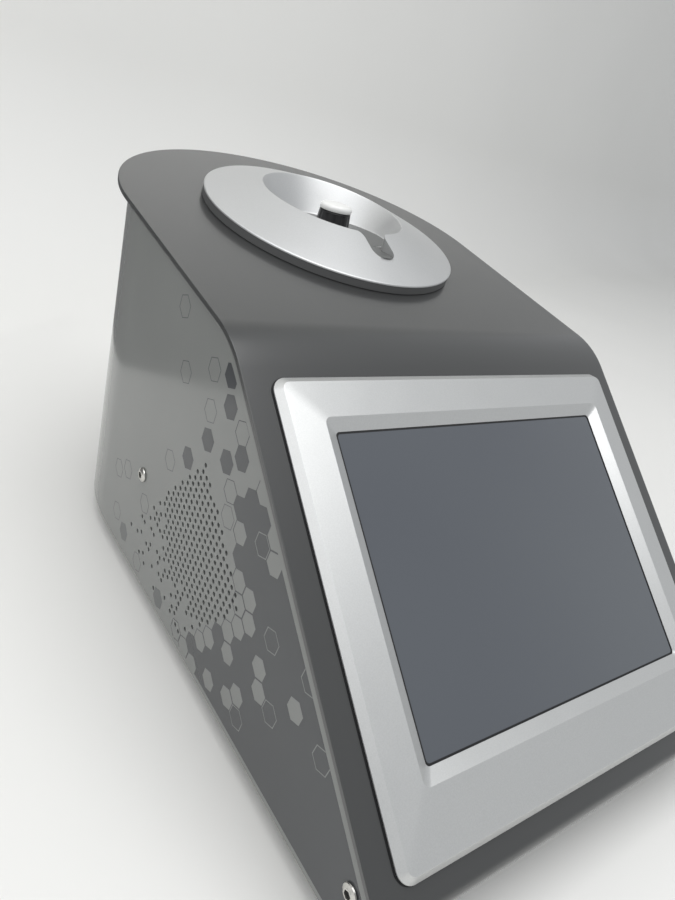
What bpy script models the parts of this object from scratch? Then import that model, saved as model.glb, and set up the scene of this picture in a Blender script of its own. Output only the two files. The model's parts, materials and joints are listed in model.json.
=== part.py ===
"""Benchtop NMR spectrometer with a sloped touch screen and a vertical sample bore.

Frame: metres, +Z up, the front faces -Y, +X is the operator's right. The origin lies on the
bench, under the middle of the instrument's box. The cover is one bent sheet: a top that falls
gently to the front, a wide bend at the brow, the sloped screen face and a small folded nose.
"""
from math import cos, pi, radians, sin, tan

import bmesh
import bpy
from mathutils import Matrix, Vector

# Driving dimensions of the housing
WIDTH = 0.300
DEPTH = 0.4917
FOOT_HEIGHT = 0.015
TOP_TILT = radians(9.35)
FACE_TILT = radians(39.9)
BROW = Vector((-0.0403, 0.2174))  # (y, z) where the top and the sloped face would meet
BROW_RADIUS = 0.062
NOSE_RADIUS = 0.007
CHIN_LEAN = radians(30.0)
SHEET = 0.003
SHELL_SHEET = 0.002
SHELL_INSET = 0.002
GAP = 0.0003

# Screen
BEZEL_WIDTH = 0.2706
BEZEL_HEIGHT = 0.2322
BEZEL_TOP_FROM_BROW = 0.0230
BEZEL_RISE = 0.0070
BEZEL_CORNER = 0.0078
SCREEN_WIDTH = 0.2132
SCREEN_HEIGHT = 0.1612
SCREEN_LIFT = 0.0047
SCREEN_DEPTH = 0.0026
GLASS_BORDER = 0.0045
CHAMFER_RUN = 0.0070

# Sample port
BORE_Y = 0.1083
PORT_Y = 0.1104
DISC_RADIUS = 0.0952
DISC_RIM_HEIGHT = 0.0068
DISC_FLANK = 0.29
RIM_RADIUS = 0.0532
RIM_SHIFT = 0.0057
FUNNEL_FLOOR_RADIUS = 0.0437
FUNNEL_FLOOR_RISE = 0.0020
HUB_RADIUS = 0.060
SLOT_HALF_WIDTH = 0.0092
SLOT_END = 0.0736
SLOT_MOUTH = 0.0555
SLOT_FLARE = 0.0080
LINER_RADIUS = 0.008
LINER_BORE = 0.0056
TUBE_RADIUS = 0.0025
TUBE_FOOT_Z = 0.0760
COLLAR_HEIGHT = 0.0121
COLLAR_FOOT_RADIUS = 0.0129
COLLAR_TOP_RADIUS = 0.0117
COLLAR_CHAMFER = 0.0008
CAP_HEIGHT = 0.0062
CAP_EDGE = 0.0030

# Magnet stack
MAGNET_Z = (0.056, 0.176)
YOKE_RADIUS = 0.080
RING_RADIUS = 0.050
PROBE_RADIUS = 0.022
JACKET_WALL = 0.012

# Vent, fan, rear panel and fasteners
FAN_CENTRE = Vector((-0.1332, -0.045, 0.085))
FAN_SIZE = 0.092
FAN_DEPTH = 0.025
SCREW_REAR = (0.0393, 0.0880)
SCREW_FRONT = (-0.2234, 0.0427)
SCREW_HEAD_RADIUS = 0.00475
SCREW_SHANK_RADIUS = 0.0025
PANEL_WIDTH = 0.130
PANEL_LOW = 0.036
PANEL_HIGH = 0.104
PANEL_Y = 0.219
FOOT_RADIUS = 0.016
FOOT_SPOTS = ((-0.110, -0.185), (0.110, -0.185), (-0.095, 0.165), (0.095, 0.165))

FRONT_Y = -DEPTH / 2
REAR_Y = DEPTH / 2
BACK_RADIUS = WIDTH / 2
COVER_BACK_DEPTH = 0.126  # the cover's back is fuller than the shell's half circle
BACK_CENTRE_Y = REAR_Y - BACK_RADIUS
BASE_TOP = FOOT_HEIGHT + 0.004
FLAT_END_Z = FOOT_HEIGHT + 0.001


def new_collection(name):
    """Make a collection under the scene and return it."""
    collection = bpy.data.collections.new(name)
    bpy.context.scene.collection.children.link(collection)
    return collection


def clear_scene():
    """Remove whatever the scene holds, so that only this model is in it."""
    for scene_object in list(bpy.data.objects):
        bpy.data.objects.remove(scene_object, do_unlink=True)


def material(name, colour, metallic=0.0, roughness=0.5):
    """Return a Principled material, made once for each name."""
    found = bpy.data.materials.get(name)
    if found:
        return found
    made = bpy.data.materials.new(name)
    made.use_nodes = True
    shader = made.node_tree.nodes["Principled BSDF"]
    shader.inputs["Base Color"].default_value = (*colour, 1.0)
    shader.inputs["Metallic"].default_value = metallic
    shader.inputs["Roughness"].default_value = roughness
    made.diffuse_color = (*colour, 1.0)
    return made


clear_scene()
PARTS = new_collection("benchtop_nmr_spectrometer")
CUTTERS = new_collection("cutters")

COVER_PAINT = material("cover_dark_grey_paint", (0.17, 0.175, 0.175), 0.0, 0.35)
SHELL_PAINT = material("shell_light_grey_paint", (0.34, 0.36, 0.35), 0.0, 0.30)
SATIN_SILVER = material("satin_silver", (0.66, 0.67, 0.67), 0.7, 0.35)
ZINC_SHEET = material("zinc_plated_sheet", (0.55, 0.56, 0.57), 0.9, 0.40)
STEEL = material("steel", (0.45, 0.45, 0.46), 0.9, 0.35)
MAGNET_METAL = material("magnet_metal", (0.30, 0.30, 0.32), 0.8, 0.45)
RUBBER = material("black_rubber", (0.03, 0.03, 0.03), 0.0, 0.80)
BLACK_PLASTIC = material("black_plastic", (0.02, 0.02, 0.02), 0.0, 0.40)
WHITE_PLASTIC = material("white_plastic", (0.86, 0.86, 0.85), 0.0, 0.25)
TOUCH_GLASS = material("touch_glass", (0.11, 0.13, 0.15), 0.0, 0.08)
CIRCUIT_GREEN = material("circuit_green", (0.02, 0.16, 0.07), 0.0, 0.45)
FOAM = material("foam", (0.20, 0.20, 0.22), 0.0, 0.90)
CLEAR_GLASS = material("clear_glass", (0.80, 0.88, 0.88), 0.0, 0.05)
BRASS = material("gold_plated_brass", (0.70, 0.52, 0.22), 1.0, 0.25)


# ---------------------------------------------------------------- building blocks

def add_mesh(name, mesh, paint, collection=PARTS, smooth=False):
    """Link a mesh as an object of this model."""
    made = bpy.data.objects.new(name, mesh)
    collection.objects.link(made)
    mesh.materials.clear()
    mesh.materials.append(paint)
    if smooth:
        mesh.shade_smooth()
        mesh.set_sharp_from_angle(angle=radians(32.0))
    if collection is CUTTERS:
        made.hide_render = True
        made.display_type = 'WIRE'
    return made


def box(name, size, centre, paint, collection=PARTS, turn=None):
    """A cuboid with its middle at centre, turned by the matrix if one is given."""
    shape = bmesh.new()
    bmesh.ops.create_cube(shape, size=1.0)
    bmesh.ops.scale(shape, vec=size, verts=shape.verts)
    mesh = bpy.data.meshes.new(name)
    shape.to_mesh(mesh)
    shape.free()
    made = add_mesh(name, mesh, paint, collection)
    place(made, centre, turn)
    return made


def place(made, centre, turn=None):
    """Put an object at a point, with an optional rotation matrix."""
    made.matrix_world = Matrix.Translation(centre) @ (turn.to_4x4() if turn else Matrix())


def rod(name, radius, length, centre, paint, collection=PARTS, turn=None, sides=32):
    """A cylinder along its local Z, with its middle at centre."""
    shape = bmesh.new()
    bmesh.ops.create_cone(shape, cap_ends=True, segments=sides, radius1=radius,
                          radius2=radius, depth=length)
    mesh = bpy.data.meshes.new(name)
    shape.to_mesh(mesh)
    shape.free()
    made = add_mesh(name, mesh, paint, collection, smooth=collection is PARTS)
    place(made, centre, turn)
    return made


def slab(name, outline, thickness, paint, collection=PARTS):
    """A flat outline of (x, y) points, filled and made thick about z = 0, as a mesh object."""
    curve = bpy.data.curves.new(name, 'CURVE')
    curve.dimensions = '2D'
    curve.fill_mode = 'BOTH'
    curve.extrude = thickness / 2
    spline = curve.splines.new('POLY')
    spline.points.add(len(outline) - 1)
    for point, (x, y) in zip(spline.points, outline):
        point.co = (x, y, 0.0, 1.0)
    spline.use_cyclic_u = True
    guide = bpy.data.objects.new(name + "_curve", curve)
    CUTTERS.objects.link(guide)
    depsgraph = bpy.context.evaluated_depsgraph_get()
    mesh = bpy.data.meshes.new_from_object(guide.evaluated_get(depsgraph))
    bpy.data.objects.remove(guide, do_unlink=True)
    shape = bmesh.new()
    shape.from_mesh(mesh)
    bmesh.ops.remove_doubles(shape, verts=shape.verts, dist=0.00001)
    bmesh.ops.recalc_face_normals(shape, faces=shape.faces)
    shape.to_mesh(mesh)
    shape.free()
    return add_mesh(name, mesh, paint, collection)


def turned(name, profile, paint, centre=(0, 0, 0), turn=None, steps=48, collection=PARTS):
    """Spin (radius, height) points about Z; a profile at +X runs down its outer side."""
    mesh = bpy.data.meshes.new(name)
    verts = [(radius, 0.0, height) for radius, height in profile]
    ends_on_axis = profile[0][0] == 0.0
    edges = [(i, i + 1) for i in range(len(verts) - 1)]
    if not ends_on_axis:
        edges.append((len(verts) - 1, 0))
    mesh.from_pydata(verts, edges, [])
    made = add_mesh(name, mesh, paint, collection)
    screw = made.modifiers.new("turn", 'SCREW')
    screw.steps = steps
    screw.render_steps = steps
    screw.use_merge_vertices = True
    screw.merge_threshold = 0.00001
    screw.use_smooth_shade = True
    place(made, centre, turn)
    return made


def cut(target, *cutters):
    """Take each cutter's shape out of the target."""
    for cutter in cutters:
        boolean = target.modifiers.new("cut_" + cutter.name, 'BOOLEAN')
        boolean.operation = 'DIFFERENCE'
        boolean.object = cutter


def keep_inside(target, limit):
    """Keep only what the target and the limiting solid share."""
    boolean = target.modifiers.new("limit_" + limit.name, 'BOOLEAN')
    boolean.operation = 'INTERSECT'
    boolean.object = limit


def join(target, *others):
    """Unite solids that belong to one piece."""
    for other in others:
        boolean = target.modifiers.new("join_" + other.name, 'BOOLEAN')
        boolean.operation = 'UNION'
        boolean.object = other


# ---------------------------------------------------------------- directions and frames

TURN_TO_X = Matrix.Rotation(pi / 2, 3, 'Y')
TURN_TO_Y = Matrix.Rotation(-pi / 2, 3, 'X')
FACE_TURN = Matrix.Rotation(FACE_TILT, 3, 'X')
TOP_TURN = Matrix.Rotation(TOP_TILT, 3, 'X')
YZ_TURN = Matrix(((0, 0, 1), (1, 0, 0), (0, 1, 0)))  # local x, y, z become world y, z, x


def on_face(x, down, rise):
    """A point of the sloped face: x, distance down from the brow and height off the sheet."""
    along = Vector((0.0, -cos(FACE_TILT), -sin(FACE_TILT)))
    out = Vector((0.0, -sin(FACE_TILT), cos(FACE_TILT)))
    return Vector((x, BROW.x, BROW.y)) + along * down + out * rise


def top_height(y):
    """Height of the cover's outer top surface at y."""
    return BROW.y + (y - BROW.x) * tan(TOP_TILT)


# ---------------------------------------------------------------- cover profile

def line_cross(point_a, dir_a, point_b, dir_b):
    """Where two lines in the plane meet."""
    across = point_b - point_a
    scale = (across.x * dir_b.y - across.y * dir_b.x) / (dir_a.x * dir_b.y - dir_a.y * dir_b.x)
    return point_a + dir_a * scale


def rounded(start, corners, end, steps):
    """A polyline from start to end with each (corner, radius) replaced by an arc."""
    points = [start]
    stops = [start] + [corner for corner, _ in corners] + [end]
    for i, (corner, radius) in enumerate(corners):
        back = (stops[i] - corner).normalized()
        ahead = (stops[i + 2] - corner).normalized()
        half = back.angle(ahead) / 2
        centre = corner + (back + ahead).normalized() * (radius / sin(half))
        first = corner + back * (radius / tan(half)) - centre
        sweep = first.angle_signed(corner + ahead * (radius / tan(half)) - centre)
        for k in range(steps[i] + 1):
            points.append(centre + Matrix.Rotation(-sweep * k / steps[i], 2) @ first)
    points.append(end)
    return points


def cover_line(inset):
    """The cover's (y, z) line from beyond the rear edge to the chin's foot, moved inwards."""
    top_dir = Vector((cos(TOP_TILT), sin(TOP_TILT)))
    face_dir = Vector((cos(FACE_TILT), sin(FACE_TILT)))
    chin_dir = Vector((sin(CHIN_LEAN), -cos(CHIN_LEAN)))
    top_in = Vector((sin(TOP_TILT), -cos(TOP_TILT)))
    face_in = Vector((sin(FACE_TILT), -cos(FACE_TILT)))
    chin_in = Vector((cos(CHIN_LEAN), sin(CHIN_LEAN)))
    nose_y = FRONT_Y + NOSE_RADIUS
    tangent = nose_y - NOSE_RADIUS * sin(FACE_TILT)
    face_z = BROW.y + (tangent - BROW.x) * tan(FACE_TILT)
    nose_centre = Vector((tangent, face_z)) + face_in * NOSE_RADIUS
    chin_point = nose_centre - chin_in * (NOSE_RADIUS - inset)
    brow = line_cross(BROW + top_in * inset, top_dir, BROW + face_in * inset, face_dir)
    nose = line_cross(BROW + face_in * inset, face_dir, chin_point, chin_dir)
    rear = brow + top_dir * ((REAR_Y + 0.03 - brow.x) / top_dir.x)
    foot = chin_point + chin_dir * ((chin_point.y - FLAT_END_Z) / -chin_dir.y)
    corners = [(brow, BROW_RADIUS - inset), (nose, max(NOSE_RADIUS - inset, 0.001))]
    return rounded(rear, corners, foot, (8, 5))


def round_back(radius, steps=40):
    """The half-round back of the shell's plan, from right to left."""
    points = []
    for k in range(steps + 1):
        angle = pi * k / steps
        points.append((radius * cos(angle), BACK_CENTRE_Y + radius * sin(angle)))
    return points


def cover_back(steps=60):
    """The half-elliptic back of the cover's plan, which overhangs the shell at its shoulders."""
    points = []
    for k in range(steps + 1):
        angle = pi * k / steps
        points.append((WIDTH / 2 * cos(angle),
                       REAR_Y - COVER_BACK_DEPTH * (1 - sin(angle))))
    return points


def u_outline(half_width, back):
    """Plan of the housing: straight sides up to the given back."""
    front = FRONT_Y - 0.03
    return [(-half_width, front), (half_width, front)] + back


def plan_solid(name, half_width, back):
    """A tall solid of the housing's plan, used to trim pieces to the rounded back."""
    solid = slab(name, u_outline(half_width, back), 0.40, COVER_PAINT, CUTTERS)
    place(solid, (0, 0, 0.19))
    return solid


def sheet_profile(outer_inset, inner_inset):
    """Closed (y, z) outline between two depths of the cover line."""
    outer = cover_line(outer_inset)
    inner = cover_line(inner_inset)
    return [tuple(p) for p in outer] + [tuple(p) for p in reversed(inner)]


def beyond_cover(name, inset):
    """A cutter that takes away everything outside the cover line moved in by inset."""
    line = [tuple(p) for p in cover_line(inset)]
    outline = line + [(line[-1][0], -0.02), (FRONT_Y - 0.06, -0.02),
                      (FRONT_Y - 0.06, 0.36), (line[0][0], 0.36)]
    solid = slab(name, outline, WIDTH + 0.06, COVER_PAINT, CUTTERS)
    place(solid, (0, 0, 0), YZ_TURN)
    return solid


# ---------------------------------------------------------------- housing

def build_cover():
    """The bent cover sheet with its screen window and port hole."""
    cover = slab("front_top_cover", sheet_profile(0.0, SHEET), WIDTH, COVER_PAINT)
    place(cover, (0, 0, 0), YZ_TURN)
    keep_inside(cover, plan_solid("cover_plan", WIDTH / 2, cover_back()))
    window = box("screen_window", (glass_size()[0] + 2 * GAP, glass_size()[1] + 2 * GAP, 0.04),
                 screen_point(0.0), COVER_PAINT, CUTTERS, FACE_TURN)
    hole = rod("port_hole", HUB_RADIUS + GAP, 0.06, port_point(0.0), COVER_PAINT, CUTTERS,
               TOP_TURN, sides=48)
    cut(cover, window, hole)


def build_side_shell():
    """The U-shaped side and back sheet, trimmed under the cover."""
    outer = WIDTH / 2 - SHELL_INSET
    inner = outer - SHELL_SHEET
    front = FRONT_Y + 0.002
    outline = [(-outer, front)] + round_back(outer)[::-1] + [(outer, front)]
    outline += [(inner, front)] + round_back(inner) + [(-inner, front)]
    shell = slab("side_shell", outline, 0.30, SHELL_PAINT)
    place(shell, (0, 0, FOOT_HEIGHT + 0.15))
    cut(shell, beyond_cover("above_shell", SHEET + GAP))
    height = PANEL_HIGH - PANEL_LOW
    window = box("rear_window", (PANEL_WIDTH - 0.006, 0.10, height - 0.006),
                 (0, REAR_Y, (PANEL_LOW + PANEL_HIGH) / 2), SHELL_PAINT, CUTTERS)
    cut(shell, window)
    for side, name in ((-1, "left"), (1, "right")):
        for label, (y, z) in (("front", SCREW_FRONT), ("rear", SCREW_REAR)):
            cut(shell, rod(f"screw_hole_{label}_{name}", SCREW_SHANK_RADIUS + GAP, 0.02,
                           (side * inner, y, z), SHELL_PAINT, CUTTERS, TURN_TO_X, sides=16))


def build_base_tray():
    """The flat base that the feet, brackets and magnet stand on."""
    inner = WIDTH / 2 - SHELL_INSET - SHELL_SHEET - GAP
    thickness = BASE_TOP - FLAT_END_Z
    tray = slab("base_tray", u_outline(inner, round_back(inner)), thickness, ZINC_SHEET)
    place(tray, (0, 0, FLAT_END_Z + thickness / 2))
    cut(tray, beyond_cover("before_tray", SHEET + GAP))
    for i, (x, y) in enumerate(FOOT_SPOTS):
        cut(tray, rod(f"foot_hole_{i}", SCREW_SHANK_RADIUS + GAP, 0.03, (x, y, BASE_TOP),
                      ZINC_SHEET, CUTTERS, sides=16))


def build_feet():
    """Four rubber feet, each held up by a pan-head screw through the tray."""
    names = ("front_left", "front_right", "rear_left", "rear_right")
    top = FLAT_END_Z - GAP
    for name, (x, y) in zip(names, FOOT_SPOTS):
        profile = [(0.0055, top), (FOOT_RADIUS, top), (FOOT_RADIUS - 0.001, 0.002),
                   (FOOT_RADIUS - 0.003, 0.0), (0.0055, 0.0)]
        turned("foot_" + name, profile, RUBBER, (x, y, 0), steps=32)
        shank_top = BASE_TOP + 0.004
        head = 0.008
        screw_profile = [(0.0, shank_top), (SCREW_SHANK_RADIUS, shank_top),
                         (SCREW_SHANK_RADIUS, head), (0.0050, head), (0.0050, 0.005), (0.0, 0.005)]
        turned("foot_screw_" + name, screw_profile, STEEL, (x, y, 0), steps=16)


def build_side_screws():
    """Button-head screws with a hex socket, two in each side of the shell."""
    outer = WIDTH / 2 - SHELL_INSET
    for side, name in ((-1, "left"), (1, "right")):
        turn = TURN_TO_X if side > 0 else Matrix.Rotation(-pi / 2, 3, 'Y')
        for label, (y, z) in (("front", SCREW_FRONT), ("rear", SCREW_REAR)):
            profile = [(0.0, 0.0026), (0.0026, 0.0025), (0.0039, 0.0018),
                       (SCREW_HEAD_RADIUS, GAP), (SCREW_SHANK_RADIUS, GAP),
                       (SCREW_SHANK_RADIUS, -0.0080), (0.0, -0.0080)]
            screw = turned(f"side_screw_{label}_{name}", profile, STEEL,
                           (side * outer, y, z), turn, steps=24)
            socket = rod(f"socket_{label}_{name}", 0.0017, 0.004, (side * (outer + 0.0030), y, z),
                         STEEL, CUTTERS, turn, sides=6)
            cut(screw, socket)


def build_shell_brackets():
    """Angle brackets inside the shell that take the side screws."""
    face = WIDTH / 2 - SHELL_INSET - SHELL_SHEET - GAP
    for side, name in ((-1, "left"), (1, "right")):
        for label, (y, z) in (("front", SCREW_FRONT), ("rear", SCREW_REAR)):
            width = 0.018 if label == "front" else 0.030
            middle = y + 0.006 if label == "front" else y
            low = BASE_TOP + GAP
            high = z + 0.006
            wall = box(f"bracket_{label}_{name}", (0.002, width, high - low),
                       (side * (face - 0.001), middle, (low + high) / 2), ZINC_SHEET)
            toe = box(f"bracket_toe_{label}_{name}", (0.020, width, 0.002),
                      (side * (face - 0.010), middle, low + 0.001), ZINC_SHEET, CUTTERS)
            hole = rod(f"bracket_hole_{label}_{name}", SCREW_SHANK_RADIUS + GAP, 0.02,
                       (side * face, y, z), ZINC_SHEET, CUTTERS, TURN_TO_X, sides=16)
            join(wall, toe)
            cut(wall, hole)


def build_cover_posts():
    """Upright sheet posts from the base tray to the underside of the cover."""
    for side, name in ((-1, "left"), (1, "right")):
        low = BASE_TOP + GAP
        front, back = (-0.012, 0.016)
        under = SHEET / cos(TOP_TILT) + 2 * GAP
        outline = [(front, low), (back, low), (back, top_height(back) - under),
                   (front, top_height(front) - under - 0.001)]
        post = slab(f"cover_post_{name}", outline, 0.0025, ZINC_SHEET)
        place(post, (side * 0.112, 0, 0), YZ_TURN)
        toe = box(f"post_toe_{name}", (0.016, back - front, 0.002),
                  (side * 0.119, (front + back) / 2, low + 0.001), ZINC_SHEET, CUTTERS)
        join(post, toe)


# ---------------------------------------------------------------- screen

def glass_size():
    """Width and height of the touch glass."""
    return SCREEN_WIDTH + 2 * GLASS_BORDER, SCREEN_HEIGHT + 2 * GLASS_BORDER


def bezel_down():
    """Distance from the brow down the face to the bezel's middle."""
    return BEZEL_TOP_FROM_BROW + BEZEL_HEIGHT / 2


def screen_point(rise, x=0.0, up=0.0):
    """A point in front of the screen's middle, at a height off the sloped sheet."""
    return on_face(x, bezel_down() - SCREEN_LIFT - up, rise)


def round_rectangle(width, height, radius, steps=6):
    """Corner-rounded rectangle about the origin."""
    points = []
    for quarter in range(4):
        sx = 1 if quarter in (0, 3) else -1
        sy = 1 if quarter in (0, 1) else -1
        for k in range(steps + 1):
            angle = pi / 2 * (quarter + k / steps)
            points.append((sx * (width / 2 - radius) + radius * cos(angle),
                           sy * (height / 2 - radius) + radius * sin(angle)))
    return points


def build_bezel():
    """The screen's frame, rebated behind for the glass, with a sloping inner edge."""
    bezel = slab("display_bezel", round_rectangle(BEZEL_WIDTH, BEZEL_HEIGHT, BEZEL_CORNER),
                 BEZEL_RISE - GAP, SATIN_SILVER)
    place(bezel, on_face(0, bezel_down(), (BEZEL_RISE + GAP) / 2), FACE_TURN)
    width, height = glass_size()
    rebate = box("glass_rebate", (width + 2 * GAP, height + 2 * GAP, 2 * (SCREEN_DEPTH + GAP)),
                 screen_point(0.0), SATIN_SILVER, CUTTERS, FACE_TURN)
    opening = box("screen_opening", (SCREEN_WIDTH, SCREEN_HEIGHT, 0.03), screen_point(0.0),
                  SATIN_SILVER, CUTTERS, FACE_TURN)
    deep = BEZEL_RISE - SCREEN_DEPTH
    flare = box("opening_flare", (SCREEN_WIDTH, SCREEN_HEIGHT, deep),
                screen_point(SCREEN_DEPTH + deep / 2 + 0.0008), SATIN_SILVER, CUTTERS, FACE_TURN)
    widen_top(flare, CHAMFER_RUN)
    cut(bezel, rebate, opening, flare)


def widen_top(made, run):
    """Spread the upper corners of a cuboid outwards, so its sides slope."""
    for vertex in made.data.vertices:
        if vertex.co.z > 0:
            vertex.co.x += run if vertex.co.x > 0 else -run
            vertex.co.y += run if vertex.co.y > 0 else -run


def build_display():
    """Touch glass, LCD module, the tray that clamps them and their controller board."""
    width, height = glass_size()
    glass_back = -0.0010
    box("touch_glass", (width, height, SCREEN_DEPTH - glass_back),
        screen_point((SCREEN_DEPTH + glass_back) / 2), TOUCH_GLASS, PARTS, FACE_TURN)
    lcd_back = -0.0080
    lcd_front = glass_back - GAP
    box("lcd_panel", (width - 0.006, height - 0.006, lcd_front - lcd_back),
        screen_point((lcd_front + lcd_back) / 2), ZINC_SHEET, PARTS, FACE_TURN)
    tray_front = -SHEET - GAP
    tray_back = lcd_back - GAP - 0.002
    tray = box("display_tray", (width + 0.024, height + 0.024, tray_front - tray_back),
               screen_point((tray_front + tray_back) / 2), ZINC_SHEET, PARTS, FACE_TURN)
    pocket_depth = 2 * (tray_front - lcd_back + GAP)
    pocket = box("display_pocket", (width - 0.006 + 2 * GAP, height - 0.006 + 2 * GAP, pocket_depth),
                 screen_point(tray_front), ZINC_SHEET, CUTTERS, FACE_TURN)
    cut(tray, pocket)
    board_front = tray_back - GAP
    box("display_controller", (0.120, 0.080, 0.0016), screen_point(board_front - 0.0008),
        CIRCUIT_GREEN, PARTS, FACE_TURN)


# ---------------------------------------------------------------- sample port

def port_point(rise, y=PORT_Y):
    """A point over the port's middle, at a height off the tilted top."""
    out = Vector((0.0, -sin(TOP_TILT), cos(TOP_TILT)))
    return Vector((0.0, y, top_height(y))) + out * rise


def seat_z():
    """Height of the funnel's level floor."""
    return top_height(PORT_Y) + FUNNEL_FLOOR_RISE


def rim_point(angle):
    """A point of the funnel's rim, which lies on the disc's flank a little to the rear."""
    x, y = RIM_RADIUS * cos(angle), RIM_SHIFT + RIM_RADIUS * sin(angle)
    rise = DISC_RIM_HEIGHT + (DISC_RADIUS - Vector((x, y)).length) * DISC_FLANK
    return port_point(0.0) + TOP_TURN @ Vector((x, y, rise))


def build_disc():
    """The dished disc: a shallow cone with an oblique funnel and a thumb slot."""
    crest_radius = 0.020
    crest = DISC_RIM_HEIGHT + (DISC_RADIUS - crest_radius) * DISC_FLANK
    hub = -0.017
    chamfer = 0.0007
    profile = [(0.0, crest), (crest_radius, crest), (DISC_RADIUS - chamfer, DISC_RIM_HEIGHT),
               (DISC_RADIUS, DISC_RIM_HEIGHT - chamfer), (DISC_RADIUS, GAP), (HUB_RADIUS, GAP),
               (HUB_RADIUS, hub), (0.0, hub)]
    disc = turned("port_disc", profile, SATIN_SILVER, port_point(0.0), TOP_TURN, steps=64)
    bore = rod("disc_bore", LINER_RADIUS + GAP, 0.10, (0, BORE_Y, seat_z()), SATIN_SILVER, CUTTERS,
               sides=32)
    cut(disc, funnel_cutter(), slot_cutter(), bore)


def funnel_cutter():
    """A loft from the level round floor through the tilted rim and on beyond it."""
    steps, reach = 64, 2.5
    shape = bmesh.new()
    low, high = [], []
    for k in range(steps):
        angle = 2 * pi * k / steps
        foot = Vector((FUNNEL_FLOOR_RADIUS * cos(angle),
                       BORE_Y + FUNNEL_FLOOR_RADIUS * sin(angle), seat_z()))
        low.append(shape.verts.new(foot))
        high.append(shape.verts.new(foot + (rim_point(angle) - foot) * reach))
    for k in range(steps):
        n = (k + 1) % steps
        shape.faces.new((low[k], low[n], high[n], high[k]))
    shape.faces.new(low[::-1])
    shape.faces.new(high)
    bmesh.ops.triangulate(shape, faces=shape.faces)
    mesh = bpy.data.meshes.new("funnel_cut")
    shape.to_mesh(mesh)
    shape.free()
    return add_mesh("funnel_cut", mesh, SATIN_SILVER, CUTTERS)


def slot_cutter():
    """A round-ended level slot from the funnel to the front, with a flared mouth."""
    height = 0.060
    end = SLOT_END - SLOT_HALF_WIDTH
    inside = -0.030
    wide = SLOT_HALF_WIDTH + SLOT_FLARE
    right = [(wide, inside)]
    for k in range(7):
        angle = pi / 2 * (1 - k / 6)
        right.append((wide - SLOT_FLARE * cos(angle), -SLOT_MOUTH + SLOT_FLARE * sin(angle)))
    tip = []
    for k in range(1, 12):
        angle = -pi * k / 12
        tip.append((SLOT_HALF_WIDTH * cos(angle), -end + SLOT_HALF_WIDTH * sin(angle)))
    right.append((SLOT_HALF_WIDTH, -end))
    outline = right + tip + [(-x, y) for x, y in reversed(right)]
    slot = slab("thumb_slot", outline, height, SATIN_SILVER, CUTTERS)
    place(slot, (0, PORT_Y, seat_z() + GAP + height / 2))
    return slot


def build_port_ring():
    """The clamp ring that holds the disc from under the cover."""
    low = -SHEET - GAP - 0.004
    profile = [(HUB_RADIUS + 0.020, -SHEET - GAP), (HUB_RADIUS + 0.020, low),
               (HUB_RADIUS + GAP, low), (HUB_RADIUS + GAP, -SHEET - GAP)]
    turned("disc_clamp_ring", profile, ZINC_SHEET, port_point(0.0), TOP_TURN, steps=48)


def build_bore_liner():
    """The plastic tube that guides a sample down into the magnet."""
    low = MAGNET_Z[0] + 0.008
    high = seat_z()
    profile = [(LINER_RADIUS, high), (LINER_RADIUS, low), (LINER_BORE, low), (LINER_BORE, high)]
    turned("bore_liner", profile, WHITE_PLASTIC, (0, BORE_Y, 0), steps=32)


def build_sample():
    """The sample: a glass tube, a grooved black collar to lift it by and a white cap."""
    foot = seat_z() + GAP
    top = foot + COLLAR_HEIGHT
    hole = TUBE_RADIUS + GAP
    profile = [(COLLAR_TOP_RADIUS - COLLAR_CHAMFER, top),
               (COLLAR_TOP_RADIUS, top - COLLAR_CHAMFER),
               (COLLAR_FOOT_RADIUS, foot), (hole, foot), (hole, top)]
    turned("sample_collar", profile, BLACK_PLASTIC, (0, BORE_Y, 0), steps=40)
    low = top + GAP
    cap_radius = COLLAR_TOP_RADIUS + GAP
    cap_profile = [(0.0, low + CAP_HEIGHT)]
    for k in range(1, 5):
        angle = pi / 2 * k / 4
        cap_profile.append((cap_radius - CAP_EDGE + CAP_EDGE * sin(angle),
                            low + CAP_HEIGHT - CAP_EDGE + CAP_EDGE * cos(angle)))
    cap_profile += [(cap_radius, low), (0.0, low)]
    turned("sample_cap", cap_profile, WHITE_PLASTIC, (0, BORE_Y, 0), steps=40)
    length = top - TUBE_FOOT_Z
    rod("sample_tube", TUBE_RADIUS, length, (0, BORE_Y, TUBE_FOOT_Z + length / 2), CLEAR_GLASS,
        sides=16)


# ---------------------------------------------------------------- magnet

def ring(name, outer, inner, low, high, paint, steps=48):
    """A plain ring about the bore."""
    profile = [(outer, high), (outer, low), (inner, low), (inner, high)]
    return turned(name, profile, paint, (0, BORE_Y, 0), steps=steps)


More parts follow.
